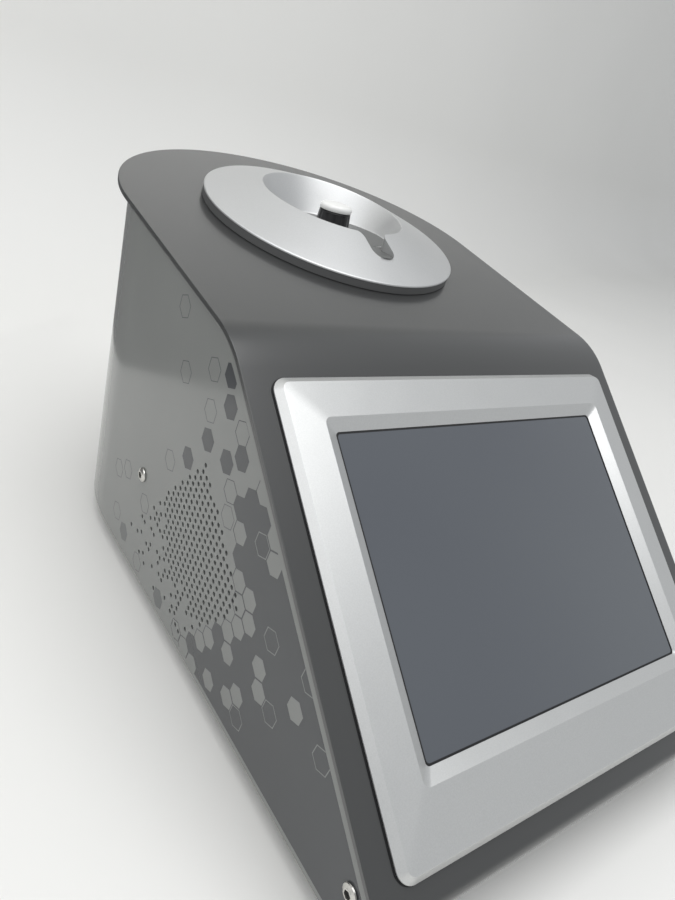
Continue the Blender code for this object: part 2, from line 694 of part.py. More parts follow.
def build_magnet():
    """Yoke, magnet ring, probe and the foam that keeps them at one temperature."""
    low, high = MAGNET_Z
    ring("magnet_yoke", YOKE_RADIUS, RING_RADIUS + GAP, low, high, MAGNET_METAL)
    ring("magnet_ring", RING_RADIUS, PROBE_RADIUS + GAP, low + 0.004, high - 0.004, STEEL)
    ring("probe_body", PROBE_RADIUS, LINER_RADIUS + GAP, low + 0.004, high - 0.004, BRASS, 32)
    jacket_inner = YOKE_RADIUS + GAP
    ring("foam_jacket", jacket_inner + JACKET_WALL, jacket_inner, low, high, FOAM)
    ring("foam_lid", jacket_inner + JACKET_WALL, LINER_RADIUS + GAP, high + GAP, high + 0.014,
         FOAM)
    plate_low = low - GAP - 0.006
    ring("magnet_plate", YOKE_RADIUS + 0.010, 0.012, plate_low, low - GAP, ZINC_SHEET)
    height = plate_low - GAP - BASE_TOP - GAP
    for name, x, y in (("front_left", -1, -1), ("front_right", 1, -1), ("rear_left", -1, 1),
                       ("rear_right", 1, 1)):
        rod("magnet_post_" + name, 0.009, height,
            (x * 0.056, BORE_Y + y * 0.056, BASE_TOP + GAP + height / 2), RUBBER, sides=24)


# ---------------------------------------------------------------- electronics

def build_electronics():
    """Main board on stand-offs, shielded radio unit and the power supply."""
    board_z = BASE_TOP + 0.0105
    centre_x, centre_y = -0.040, -0.098
    size = (0.110, 0.140, 0.0016)
    box("main_board", size, (centre_x, centre_y, board_z), CIRCUIT_GREEN)
    low = BASE_TOP + GAP
    high = board_z - size[2] / 2 - GAP
    for i, (sx, sy) in enumerate(((-1, -1), (1, -1), (-1, 1), (1, 1))):
        x = centre_x + sx * (size[0] / 2 - 0.006)
        y = centre_y + sy * (size[1] / 2 - 0.006)
        rod(f"board_standoff_{i + 1}", 0.003, high - low, (x, y, (low + high) / 2), BRASS, sides=12)
    can_low = board_z + size[2] / 2 + GAP
    box("radio_unit", (0.070, 0.080, 0.022), (centre_x, centre_y + 0.022, can_low + 0.011),
        ZINC_SHEET)
    box("power_supply", (0.085, 0.150, 0.040), (0.078, -0.100, BASE_TOP + GAP + 0.020), ZINC_SHEET)


def build_fan():
    """A square fan frame against the left vent, with a rotor that spins about X."""
    frame = box("fan_frame", (FAN_DEPTH, FAN_SIZE, FAN_SIZE), FAN_CENTRE, BLACK_PLASTIC)
    duct = rod("fan_duct", FAN_SIZE / 2 - 0.002, 0.05, FAN_CENTRE, BLACK_PLASTIC, CUTTERS,
               TURN_TO_X, sides=48)
    cut(frame, duct)
    strut_x = FAN_CENTRE.x + FAN_DEPTH / 2 - 0.0015
    for i in range(2):
        strut = box(f"fan_strut_{i}", (0.003, 0.006, FAN_SIZE - 0.002),
                    (strut_x, FAN_CENTRE.y, FAN_CENTRE.z), BLACK_PLASTIC, CUTTERS,
                    Matrix.Rotation(pi / 4 + i * pi / 2, 3, 'X'))
        join(frame, strut)
    blade_middle = FAN_CENTRE.x - 0.0025
    rotor = rod("fan_rotor", 0.018, 0.0165, (blade_middle, FAN_CENTRE.y, FAN_CENTRE.z),
                BLACK_PLASTIC, PARTS, TURN_TO_X, sides=32)
    for i in range(7):
        spin = Matrix.Rotation(2 * pi * i / 7, 3, 'X')
        pitch = Matrix.Rotation(radians(48), 3, 'Z')
        reach = spin @ Vector((0, 0, 0.0280))
        blade = box(f"fan_blade_{i}", (0.0016, 0.0180, 0.0265),
                    Vector((blade_middle, FAN_CENTRE.y, FAN_CENTRE.z)) + reach, BLACK_PLASTIC,
                    CUTTERS, spin @ pitch)
        join(rotor, blade)


# ---------------------------------------------------------------- rear panel

def build_rear_panel():
    """A recessed tray for the connectors, behind a window in the round back."""
    inner = WIDTH / 2 - SHELL_INSET - SHELL_SHEET - GAP
    height = PANEL_HIGH - PANEL_LOW
    middle = (PANEL_LOW + PANEL_HIGH) / 2
    wall = 0.002
    tray = box("rear_panel", (PANEL_WIDTH, 0.060, height), (0, PANEL_Y + 0.030, middle),
               ZINC_SHEET)
    hollow = box("rear_hollow", (PANEL_WIDTH - 2 * wall, 0.080, height - 2 * wall),
                 (0, PANEL_Y + wall + 0.040, middle), ZINC_SHEET, CUTTERS)
    keep_inside(tray, plan_solid("panel_plan", inner, round_back(inner)))
    inlet_hole = box("inlet_hole", (0.028, 0.02, 0.021), (-0.038, PANEL_Y, middle), ZINC_SHEET,
                     CUTTERS)
    switch_hole = box("switch_hole", (0.0206, 0.02, 0.0286), (-0.0005, PANEL_Y, middle),
                      ZINC_SHEET, CUTTERS)
    cut(tray, hollow, inlet_hole, switch_hole)
    face = PANEL_Y + wall + GAP
    build_power_inlet(face, middle)
    build_power_switch(face, middle)
    build_sockets(face, middle)


def build_power_inlet(face, middle):
    """An appliance inlet: flange, socket recess and three flat contacts."""
    x = -0.038
    inlet = box("power_inlet", (0.048, 0.003, 0.028), (x, face + 0.0015, middle), BLACK_PLASTIC)
    body = box("inlet_body", (0.0270, 0.020, 0.0200), (x, face + 0.0015 - 0.0100, middle),
               BLACK_PLASTIC, CUTTERS)
    recess = box("inlet_recess", (0.0240, 0.030, 0.0165), (x, face + 0.003, middle),
                 BLACK_PLASTIC, CUTTERS)
    join(inlet, body)
    cut(inlet, recess)
    for i, dx in enumerate((-0.007, 0.0, 0.007)):
        pin = box(f"inlet_contact_{i}", (0.0020, 0.012, 0.0040),
                  (x + dx, face - 0.0065, middle + (0.0025 if dx == 0.0 else -0.0015)), STEEL,
                  CUTTERS)
        join(inlet, pin)


def build_power_switch(face, middle):
    """A rocker switch: its frame, and the rocker on a pin across the frame."""
    x = -0.0005
    frame = box("switch_frame", (0.026, 0.0025, 0.034), (x, face + 0.00125, middle), BLACK_PLASTIC)
    body = box("switch_body", (0.0200, 0.020, 0.0280), (x, face - 0.0085, middle), BLACK_PLASTIC,
               CUTTERS)
    cavity = box("switch_cavity", (0.0156, 0.030, 0.0236), (x, face + 0.0010, middle),
                 BLACK_PLASTIC, CUTTERS)
    join(frame, body)
    cut(frame, cavity)
    pivot_y = face - 0.0050
    outline = [(-0.0100, 0.0070), (0.0, 0.0052), (0.0100, 0.0070), (0.0096, -0.0010),
               (0.0, -0.0045), (-0.0096, -0.0010)]
    rocker = slab("power_rocker", [(y, z) for z, y in outline], 0.0148, BLACK_PLASTIC)
    place(rocker, (x, pivot_y, middle), Matrix.Rotation(radians(12), 3, 'X') @ YZ_TURN)


def build_sockets(face, middle):
    """Network, two USB and two coaxial sockets."""
    items = (("network_socket", 0.025, (0.0160, 0.0140, 0.0135), 0.0118, 0.0080),
             ("usb_socket_1", 0.042, (0.0070, 0.0120, 0.0145), 0.0048, 0.0122),
             ("usb_socket_2", 0.053, (0.0070, 0.0120, 0.0145), 0.0048, 0.0122))
    for name, x, size, mouth_width, mouth_height in items:
        centre = (x, face + size[1] / 2, middle + 0.012)
        socket = box(name, size, centre, STEEL)
        mouth = box(name + "_mouth", (mouth_width, 0.018, mouth_height),
                    (x, face + size[1] + 0.001, middle + 0.012), STEEL, CUTTERS)
        cut(socket, mouth)
    for i, x in enumerate((0.026, 0.047)):
        profile = [(0.0, 0.0092), (0.0022, 0.0092), (0.0022, 0.0100), (0.0031, 0.0100),
                   (0.0031, 0.0022), (0.0048, 0.0022), (0.0048, 0.0), (0.0, 0.0)]
        turned(f"coaxial_socket_{i + 1}", profile, BRASS, (x, face, middle - 0.014), TURN_TO_Y,
               steps=20)


def main():
    """Build every piece of the instrument."""
    build_cover()
    build_side_shell()
    build_base_tray()
    build_feet()
    build_side_screws()
    build_shell_brackets()
    build_cover_posts()
    build_bezel()
    build_display()
    build_disc()
    build_port_ring()
    build_bore_liner()
    build_sample()
    build_magnet()
    build_electronics()
    build_fan()
    build_rear_panel()


main()
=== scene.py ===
"""Looks of a benchtop NMR spectrometer: painted sheet covers, a silver screen frame, a dished
sample port, a printed honeycomb with a vent in each side, and a plain studio round them.

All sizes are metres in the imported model's frame: +Z up, the front faces -Y.
"""

import json
from math import cos, pi, radians, sin, tan

import bmesh
import bpy
from mathutils import Matrix, Vector


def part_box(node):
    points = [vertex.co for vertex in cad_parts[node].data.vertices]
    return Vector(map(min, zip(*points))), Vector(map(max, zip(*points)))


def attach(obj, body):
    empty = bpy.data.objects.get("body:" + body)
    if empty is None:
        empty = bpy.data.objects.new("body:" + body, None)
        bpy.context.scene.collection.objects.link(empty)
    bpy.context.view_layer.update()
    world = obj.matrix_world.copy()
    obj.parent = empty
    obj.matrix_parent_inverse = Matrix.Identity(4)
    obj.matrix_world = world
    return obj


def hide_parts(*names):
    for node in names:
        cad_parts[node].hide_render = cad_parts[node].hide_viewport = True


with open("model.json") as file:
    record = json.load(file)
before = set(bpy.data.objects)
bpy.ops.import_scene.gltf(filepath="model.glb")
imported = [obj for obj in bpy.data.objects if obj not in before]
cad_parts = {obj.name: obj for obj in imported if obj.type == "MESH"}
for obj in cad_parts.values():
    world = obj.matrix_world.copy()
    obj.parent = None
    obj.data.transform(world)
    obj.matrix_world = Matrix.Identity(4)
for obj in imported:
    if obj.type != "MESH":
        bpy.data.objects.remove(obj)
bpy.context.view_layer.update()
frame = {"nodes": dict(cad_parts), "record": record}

# Housing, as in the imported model
COVER_LOW, COVER_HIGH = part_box("front_top_cover")
HALF_WIDTH = COVER_HIGH.x
FRONT_Y = COVER_LOW.y
REAR_Y = COVER_HIGH.y
SHELL_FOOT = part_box("side_shell")[0].z
SIDE_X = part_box("side_shell")[1].x
BACK_CENTRE_Y = REAR_Y - HALF_WIDTH
COVER_BACK_DEPTH = 0.126
TOP_TILT = radians(9.35)
FACE_TILT = radians(39.9)
CHIN_LEAN = radians(30.0)
BROW = Vector((-0.0403, 0.2174))
BROW_RADIUS = 0.062
NOSE_RADIUS = 0.007
SHEET = 0.003
SHELL_SHEET = 0.002
GAP = 0.0003
HAIR = 0.00006
OVERRUN = 0.03  # how far a cutting shape runs past the housing
WINDOW_CLEARANCE = 0.010

# Screen
BEZEL_WIDTH = 0.2706
BEZEL_HEIGHT = 0.2322
BEZEL_TOP_FROM_BROW = 0.0230
BEZEL_RISE = 0.0070
BEZEL_CORNER = 0.0078
SCREEN_WIDTH = 0.2132
SCREEN_HEIGHT = 0.1612
SCREEN_LIFT = 0.0047
SCREEN_DEPTH = 0.0026
GLASS_BORDER = 0.0045

# Sample port
BORE_Y = 0.1083
PORT_Y = 0.1104
DISC_RADIUS = 0.0952
DISC_RIM_HEIGHT = 0.0068
DISC_FLANK = 0.29
HUB_RADIUS = 0.060
RIM_RADIUS = 0.0532
RIM_SHIFT = 0.0057
FUNNEL_FLOOR_RADIUS = 0.0437
FUNNEL_FLOOR_RISE = 0.0020
SLOT_HALF_WIDTH = 0.0092
SLOT_END = 0.0736
SLOT_MOUTH = 0.0555
SLOT_FLARE = 0.0080
SLOT_FLANK_LOOPS = (0.0800, 0.0742)  # extra loops that keep the shading even beside the slot
LINER_RADIUS = 0.008
LINING_INNER_RADIUS = 0.0133
LINING_THICKNESS = 0.0002

# Side graphic and vent
CELL_PITCH = 0.0127
CELL_TURN = radians(9.7)
CELL_ORIGIN = Vector((-0.1037, 0.1030))
CELL_RADIUS = CELL_PITCH / 3 ** 0.5
PRINT_INSET = 0.0096
PRINT_FOOT = SHELL_FOOT + 0.0034
HOLE_PITCH = 0.00497
HOLE_TURN = radians(14.7)
HOLE_ORIGIN = Vector((-0.0257, 0.0820))
HOLE_RADIUS = 0.00142

# Rows of the honeycomb, each with the place of its first cell. Cells in front of that one are
# printed: # printed, . bare in a thin printed ring, o printed with a light ring.
HONEYCOMB = {
    -6: (1, "."),
    -5: (-1, ". #"),
    -4: (-2, ".##"),
    -3: (-3, "#.o##."),
    -2: (1, "."),
    -1: (-5, "o######"),
    0: (-2, "o#.."),
    1: (-6, "o#.###.."),
    2: (-1, ".#."),
    3: (-2, "o.##."),
    4: (2, ".#"),
    5: (1, ".##."),
    6: (1, "o.##."),
    7: (4, ".##"),
    8: (6, "..."),
}
FIRST_PRINTED_ROW = -4
PRINTED_RUN = 22  # printed cells before a row's first; those past the panel are trimmed off

# Single hexagons behind the vent: (y, z) in millimetres
LONE_SOLID = ((-44, 198), (-49, 183), (-56, 155), (-33, 155), (-15, 133))
LONE_PALE = ((57, 30), (-9, 25))
LONE_RINGS = ((19, 210), (-26, 193), (5, 177), (-30, 171), (-68, 129), (6, 119), (31, 71),
              (64, 77), (79, 69), (73, 37), (29, 25))

# Rows of vent holes from the top down, O for a hole. Each row starts at the front.
VENT_ROWS = (
    "..............O",
    "............OOO",
    ".........OOOOOOO",
    ".......OOOOOOOOO",
    ".....OOOOOOOOOOOO",
    "...OOOOOOOOOOOOOO",
    ".OOOOOOOOOOOOOOOOO",
    "OOOOOOOOOOOOOOOOOO",
    ".OOOOOOOOOOOOOOOOOO",
    ".OOOOOOOOOOOOOOOOOO",
    ".OOOOOOOOOOOOOOOOOOO",
    "..OOOOOOOOOOOOOOOOOO",
    "..OOOOOOOOOOOOOOOOOO",
    "...OOOOOOOOOOOOOOOO.O",
    "...OOOOOOOOOOOOOOO.O",
    "....OOOOOOOOOOOOOO.OOO",
    "....OOOOOOOOOOOO.OOOO",
    "......OO.O.OOOOOO....O",
    ".....O.O.OOOOO.O...OO",
    ".........OO..OO.OO....OO",
    "......O..O.O..O.O..O",
    ".........OO...OO...OO.O",
    ".......OO.O.O....O.....O",
    "....................O....O",
    "...............O...O.O",
)
VENT_ROW_ABOVE = 12
VENT_COLUMN_BEFORE = 13

TURN_TO_X = Matrix.Rotation(pi / 2, 3, 'Y')
TURN_TO_MINUS_X = Matrix.Rotation(-pi / 2, 3, 'Y')
TURN_TO_Y = Matrix.Rotation(-pi / 2, 3, 'X')
FACE_TURN = Matrix.Rotation(FACE_TILT, 3, 'X')
TOP_TURN = Matrix.Rotation(TOP_TILT, 3, 'X')
YZ_TURN = Matrix(((0, 0, 1), (1, 0, 0), (0, 1, 0)))
IDENTITY = Matrix.Identity(3)


# ---------------------------------------------------------------- materials

def principled(name, colour, metallic=0.0, roughness=0.5, coat=0.0, coat_roughness=0.1):
    """Start a material and return it with its node tree and shader."""
    made = bpy.data.materials.new(name)
    made.use_nodes = True
    tree = made.node_tree
    shader = tree.nodes["Principled BSDF"]
    shader.inputs["Base Color"].default_value = (*colour, 1.0)
    shader.inputs["Metallic"].default_value = metallic
    shader.inputs["Roughness"].default_value = roughness
    shader.inputs["Coat Weight"].default_value = coat
    shader.inputs["Coat Roughness"].default_value = coat_roughness
    return made, tree, shader


def object_noise(tree, scale, detail=3.0, stretch=(1.0, 1.0, 1.0)):
    """A noise texture in object space, stretched along the axes if asked."""
    place = tree.nodes.new("ShaderNodeTexCoord")
    mapping = tree.nodes.new("ShaderNodeMapping")
    mapping.inputs["Scale"].default_value = stretch
    noise = tree.nodes.new("ShaderNodeTexNoise")
    noise.inputs["Scale"].default_value = scale
    noise.inputs["Detail"].default_value = detail
    tree.links.new(place.outputs["Object"], mapping.inputs["Vector"])
    tree.links.new(mapping.outputs["Vector"], noise.inputs["Vector"])
    return noise


def vary_colour(tree, shader, noise, low, high):
    """Drive the base colour between two shades by the noise."""
    ramp = tree.nodes.new("ShaderNodeValToRGB")
    ramp.color_ramp.elements[0].position = 0.3
    ramp.color_ramp.elements[0].color = (*low, 1.0)
    ramp.color_ramp.elements[1].position = 0.7
    ramp.color_ramp.elements[1].color = (*high, 1.0)
    tree.links.new(noise.outputs["Fac"], ramp.inputs["Fac"])
    tree.links.new(ramp.outputs["Color"], shader.inputs["Base Color"])


def vary_roughness(tree, shader, noise, low, high):
    """Drive the roughness between two values by the noise."""
    spread = tree.nodes.new("ShaderNodeMapRange")
    spread.inputs["To Min"].default_value = low
    spread.inputs["To Max"].default_value = high
    tree.links.new(noise.outputs["Fac"], spread.inputs["Value"])
    tree.links.new(spread.outputs["Result"], shader.inputs["Roughness"])


def add_bump(tree, shader, noise, distance, strength):
    """Raise the surface a little by the noise."""
    bump = tree.nodes.new("ShaderNodeBump")
    bump.inputs["Distance"].default_value = distance
    bump.inputs["Strength"].default_value = strength
    tree.links.new(noise.outputs["Fac"], bump.inputs["Height"])
    tree.links.new(bump.outputs["Normal"], shader.inputs["Normal"])


def shade(colour, factor):
    """The same colour, lighter or darker."""
    return tuple(min(1.0, channel * factor) for channel in colour)


def paint(name, colour, roughness, grain=0.00001, coat=0.0, coat_roughness=0.08):
    """Sprayed paint: a very fine orange peel and a faint drift of shade."""
    made, tree, shader = principled(name, colour, 0.0, roughness, coat, coat_roughness)
    vary_colour(tree, shader, object_noise(tree, 9.0), shade(colour, 0.96), shade(colour, 1.04))
    add_bump(tree, shader, object_noise(tree, 900.0, 2.0), grain, 0.35)
    return made


def satin_metal(name, colour, roughness, stretch=(1.0, 1.0, 1.0), metallic=0.85, grain=0.000012):
    """Fine satin metal or metallic finish, with its grain along the unstretched axes."""
    made, tree, shader = principled(name, colour, metallic, roughness)
    fine = object_noise(tree, 1500.0, 2.0, stretch)
    vary_colour(tree, shader, fine, shade(colour, 0.965), shade(colour, 1.035))
    vary_roughness(tree, shader, object_noise(tree, 60.0), roughness - 0.03, roughness + 0.04)
    add_bump(tree, shader, fine, grain, 0.30)
    return made


def moulded(name, colour, roughness, grain=0.00002, coat=0.0):
    """Moulded plastic or rubber with a light texture."""
    made, tree, shader = principled(name, colour, 0.0, roughness, coat)
    vary_colour(tree, shader, object_noise(tree, 40.0), shade(colour, 0.92), shade(colour, 1.08))
    add_bump(tree, shader, object_noise(tree, 2200.0, 2.0), grain, 0.4)
    return made


def make_screen_glass():
    """Dark panel behind clear glass, a touch bluer at one corner."""
    made, tree, shader = principled("touch_screen", (0.070, 0.079, 0.093), 0.0, 0.30, 1.0, 0.015)
    vary_colour(tree, shader, object_noise(tree, 5.0, 1.0), (0.063, 0.071, 0.086),
                (0.077, 0.087, 0.100))
    return made


def make_tube_glass():
    """Clear laboratory glass."""
    made, tree, shader = principled("tube_glass", (0.92, 0.96, 0.96), 0.0, 0.03)
    shader.inputs["Transmission Weight"].default_value = 0.9
    shader.inputs["IOR"].default_value = 1.47
    vary_roughness(tree, shader, object_noise(tree, 80.0), 0.02, 0.05)
    return made


def make_circuit_board():
    """Green solder mask with lighter copper runs under it."""
    made, tree, shader = principled("circuit_board", (0.02, 0.16, 0.07), 0.0, 0.35)
    place = tree.nodes.new("ShaderNodeTexCoord")
    runs = tree.nodes.new("ShaderNodeTexBrick")
    runs.inputs["Scale"].default_value = 120.0
    runs.inputs["Color1"].default_value = (0.02, 0.15, 0.07, 1.0)
    runs.inputs["Color2"].default_value = (0.02, 0.19, 0.09, 1.0)
    runs.inputs["Mortar"].default_value = (0.05, 0.26, 0.13, 1.0)
    tree.links.new(place.outputs["Object"], runs.inputs["Vector"])
    tree.links.new(runs.outputs["Color"], shader.inputs["Base Color"])
    return made


COVER_PAINT = paint("cover_paint", (0.036, 0.037, 0.037), 0.33, 0.000008, coat=0.70,
                    coat_roughness=0.16)
SHELL_PAINT = paint("shell_paint", (0.190, 0.196, 0.190), 0.14, 0.000004)
PRINT_INK = paint("print_ink", (0.053, 0.056, 0.060), 0.14, 0.000004)
PALE_INK = paint("pale_ink", (0.096, 0.102, 0.102), 0.14, 0.000004)
BEZEL_SILVER = satin_metal("bezel_silver", (0.61, 0.615, 0.61), 0.38, metallic=0.80)
DISC_SILVER = satin_metal("disc_silver", (0.60, 0.605, 0.605), 0.42, metallic=0.75)
EDGE_BAND = paint("edge_band", (0.11, 0.111, 0.111), 0.45)
PORT_LINING = satin_metal("port_lining", (0.135, 0.138, 0.136), 0.45, metallic=0.30)
STAINLESS = satin_metal("stainless", (0.62, 0.61, 0.58), 0.26, metallic=1.0)
ZINC_SHEET = satin_metal("zinc_sheet", (0.50, 0.51, 0.52), 0.42, (1.0, 0.2, 1.0), 0.95)
MAGNET_IRON = satin_metal("magnet_iron", (0.34, 0.34, 0.35), 0.45, metallic=0.9)
GOLD_PLATE = satin_metal("gold_plate", (0.76, 0.56, 0.24), 0.25, metallic=1.0)
BLACK_PLASTIC = moulded("black_plastic", (0.014, 0.014, 0.015), 0.42)
COLLAR_BLACK = moulded("collar_black", (0.008, 0.008, 0.009), 0.34)
GLOSS_BLACK = moulded("gloss_black", (0.010, 0.010, 0.011), 0.22, 0.000006, coat=0.5)
WHITE_PLASTIC = moulded("white_plastic", (0.84, 0.84, 0.82), 0.28, 0.000006, coat=0.4)
RUBBER = moulded("rubber", (0.020, 0.020, 0.020), 0.75, 0.00004)
FOAM = moulded("foam", (0.022, 0.022, 0.024), 0.92, 0.0003)
# Near black for the screen's gasket line, also used as painted shadow round the silver frame and as
# painted shade in the screw sockets.
SEAL_AND_SHADE_BLACK = moulded("seal_and_painted_shade_black", (0.004, 0.004, 0.005), 0.60)
SCREEN_GLASS = make_screen_glass()
TUBE_GLASS = make_tube_glass()
CIRCUIT_BOARD = make_circuit_board()


# ---------------------------------------------------------------- mesh tools

def smooth_by_angle(mesh, angle):
    """Shade the mesh smooth, with edges sharper than an angle in degrees kept crisp."""
    mesh.shade_smooth()
    mesh.set_sharp_from_angle(angle=radians(angle))


def new_piece(name, shape, finish, smooth=True, angle=32.0):
    """Turn a bmesh into a scene object with one finish."""
    mesh = bpy.data.meshes.new(name)
    shape.to_mesh(mesh)
    shape.free()
    made = bpy.data.objects.new(name, mesh)
    bpy.context.scene.collection.objects.link(made)
    mesh.materials.append(finish)
    if smooth:
        smooth_by_angle(mesh, angle)
    return made


def place(made, centre, turn=IDENTITY):
    """Move a mesh to a point, with a rotation. The object itself stays at the origin."""
    made.data.transform(Matrix.Translation(centre) @ turn.to_4x4())
    return made


def lofted(name, loops, finish, ring=False, angle=32.0):
    """A surface through closed loops with equal counts; ring joins the last loop to the first."""
    shape = bmesh.new()
    rows = [[shape.verts.new(point) for point in loop] for loop in loops]
    count = len(rows[0])
    pairs = list(zip(rows, rows[1:]))
    if ring:
        pairs.append((rows[-1], rows[0]))
    for low, high in pairs:
        for k in range(count):
            n = (k + 1) % count
            shape.faces.new((low[k], low[n], high[n], high[k]))
    if not ring:
        shape.faces.new(rows[0][::-1])
        shape.faces.new(rows[-1])
    bmesh.ops.recalc_face_normals(shape, faces=shape.faces)
    return new_piece(name, shape, finish, angle=angle)


def slab(name, outline, thickness, finish):
    """A flat outline made thick about z = 0."""
    half = thickness / 2
    return lofted(name, [[(x, y, z) for x, y in outline] for z in (-half, half)], finish)


def turned(name, profile, finish, centre, turn=IDENTITY, steps=96):
    """Spin (radius, height) points about Z into a closed shape. Ends may lie on the axis."""
    shape = bmesh.new()
    rows = []
    for radius, height in profile:
        if radius == 0.0:
            rows.append([shape.verts.new((0, 0, height))])
            continue
        rows.append([shape.verts.new((radius * cos(2 * pi * k / steps),
                                      radius * sin(2 * pi * k / steps), height))
                     for k in range(steps)])
    pairs = list(zip(rows, rows[1:]))
    if len(rows[0]) > 1 and len(rows[-1]) > 1:
        pairs.append((rows[-1], rows[0]))
    for above, below in pairs:
        for k in range(steps):
            n = (k + 1) % steps
            corners = [above[k % len(above)], below[k % len(below)], below[n % len(below)],
                       above[n % len(above)]]
            unique = list(dict.fromkeys(corners))
            if len(unique) > 2:
                shape.faces.new(unique)
    bmesh.ops.recalc_face_normals(shape, faces=shape.faces)
    return place(new_piece(name, shape, finish), centre, turn)


def box(name, size, centre, finish, turn=IDENTITY, bevel=0.0):
    """A cuboid with softened edges."""
    shape = bmesh.new()
    bmesh.ops.create_cube(shape, size=1.0)
    bmesh.ops.scale(shape, vec=size, verts=shape.verts)
    made = place(new_piece(name, shape, finish), centre, turn)
    if bevel:
        soften(made, bevel)
    return made


def soften(made, width, segments=3, angle=40.0):
    """Round the sharp edges."""
    bevel = made.modifiers.new("soft_edges", 'BEVEL')
    bevel.width = width
    bevel.segments = segments
    bevel.limit_method = 'ANGLE'
    bevel.angle_limit = radians(angle)
    bevel.harden_normals = True


def even_normals(made):
    """Let the large flat faces keep their normals beside the rounded ones."""
    weighted = made.modifiers.new("even_normals", 'WEIGHTED_NORMAL')
    weighted.keep_sharp = True
    weighted.weight = 100


def boolean(target, other, operation):
    """Cut, join or limit the target by another solid and drop the other."""
    modifier = target.modifiers.new(operation.lower(), 'BOOLEAN')
    modifier.operation = operation
    modifier.object = other
    apply_modifiers(target)
    bpy.data.objects.remove(other, do_unlink=True)


def apply_modifiers(made):
    """Turn the evaluated shape into the object's own mesh."""
    depsgraph = bpy.context.evaluated_depsgraph_get()
    mesh = bpy.data.meshes.new_from_object(made.evaluated_get(depsgraph))
    made.modifiers.clear()
    made.data = mesh


def finish_piece(made, body, slot, *nodes):
    """Ride the piece on its body and stand it in for CAD nodes. The slot is not used."""
    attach(made, body)
    if nodes:
        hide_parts(*nodes)
    return made


# ---------------------------------------------------------------- housing shape

def on_face(down):
    """The point of the sloped face's middle line at a distance down from the brow."""
    along = Vector((0.0, -cos(FACE_TILT), -sin(FACE_TILT)))
    return Vector((0.0, BROW.x, BROW.y)) + along * down


def top_height(y):
    """Height of the cover's outer top surface at y."""
    return BROW.y + (y - BROW.x) * tan(TOP_TILT)


def line_cross(point_a, dir_a, point_b, dir_b):
    """Where two lines in the plane meet."""
    across = point_b - point_a
    scale = (across.x * dir_b.y - across.y * dir_b.x) / (dir_a.x * dir_b.y - dir_a.y * dir_b.x)
    return point_a + dir_a * scale


def rounded(start, corners, end, steps):
    """A polyline from start to end with each (corner, radius) replaced by an arc."""
    points = [start]
    stops = [start] + [corner for corner, _ in corners] + [end]
    for i, (corner, radius) in enumerate(corners):
        back = (stops[i] - corner).normalized()
        ahead = (stops[i + 2] - corner).normalized()
        half = back.angle(ahead) / 2
        centre = corner + (back + ahead).normalized() * (radius / sin(half))
        first = corner + back * (radius / tan(half)) - centre
        sweep = first.angle_signed(corner + ahead * (radius / tan(half)) - centre)
        for k in range(steps[i] + 1):
            points.append(centre + Matrix.Rotation(-sweep * k / steps[i], 2) @ first)
    points.append(end)
    return points


def cover_line(inset, brow_steps=24, nose_steps=12):
    """The cover's (y, z) line from beyond the rear edge to the chin's foot, moved inwards."""
    top_dir = Vector((cos(TOP_TILT), sin(TOP_TILT)))
    face_dir = Vector((cos(FACE_TILT), sin(FACE_TILT)))
    chin_dir = Vector((sin(CHIN_LEAN), -cos(CHIN_LEAN)))
    top_in = Vector((sin(TOP_TILT), -cos(TOP_TILT)))
    face_in = Vector((sin(FACE_TILT), -cos(FACE_TILT)))
    chin_in = Vector((cos(CHIN_LEAN), sin(CHIN_LEAN)))
    tangent = FRONT_Y + NOSE_RADIUS - NOSE_RADIUS * sin(FACE_TILT)
    face_z = BROW.y + (tangent - BROW.x) * tan(FACE_TILT)
    nose_centre = Vector((tangent, face_z)) + face_in * NOSE_RADIUS
    chin_point = nose_centre - chin_in * (NOSE_RADIUS - inset)
    brow = line_cross(BROW + top_in * inset, top_dir, BROW + face_in * inset, face_dir)
    nose = line_cross(BROW + face_in * inset, face_dir, chin_point, chin_dir)
    rear = brow + top_dir * ((REAR_Y + OVERRUN - brow.x) / top_dir.x)
    foot = chin_point + chin_dir * ((chin_point.y - COVER_LOW.z) / -chin_dir.y)
    corners = [(brow, BROW_RADIUS - inset), (nose, max(NOSE_RADIUS - inset, 0.001))]
    return rounded(rear, corners, foot, (brow_steps, nose_steps))


def round_back(radius, steps=96):
    """The half-round back of the shell's plan, from right to left."""
    return [(radius * cos(pi * k / steps), BACK_CENTRE_Y + radius * sin(pi * k / steps))
            for k in range(steps + 1)]


def cover_back(steps=120):
    """The fuller, half-elliptic back of the cover's plan."""
    angles = [pi * k / steps for k in range(steps + 1)]
    return [(HALF_WIDTH * cos(a), REAR_Y - COVER_BACK_DEPTH * (1 - sin(a))) for a in angles]


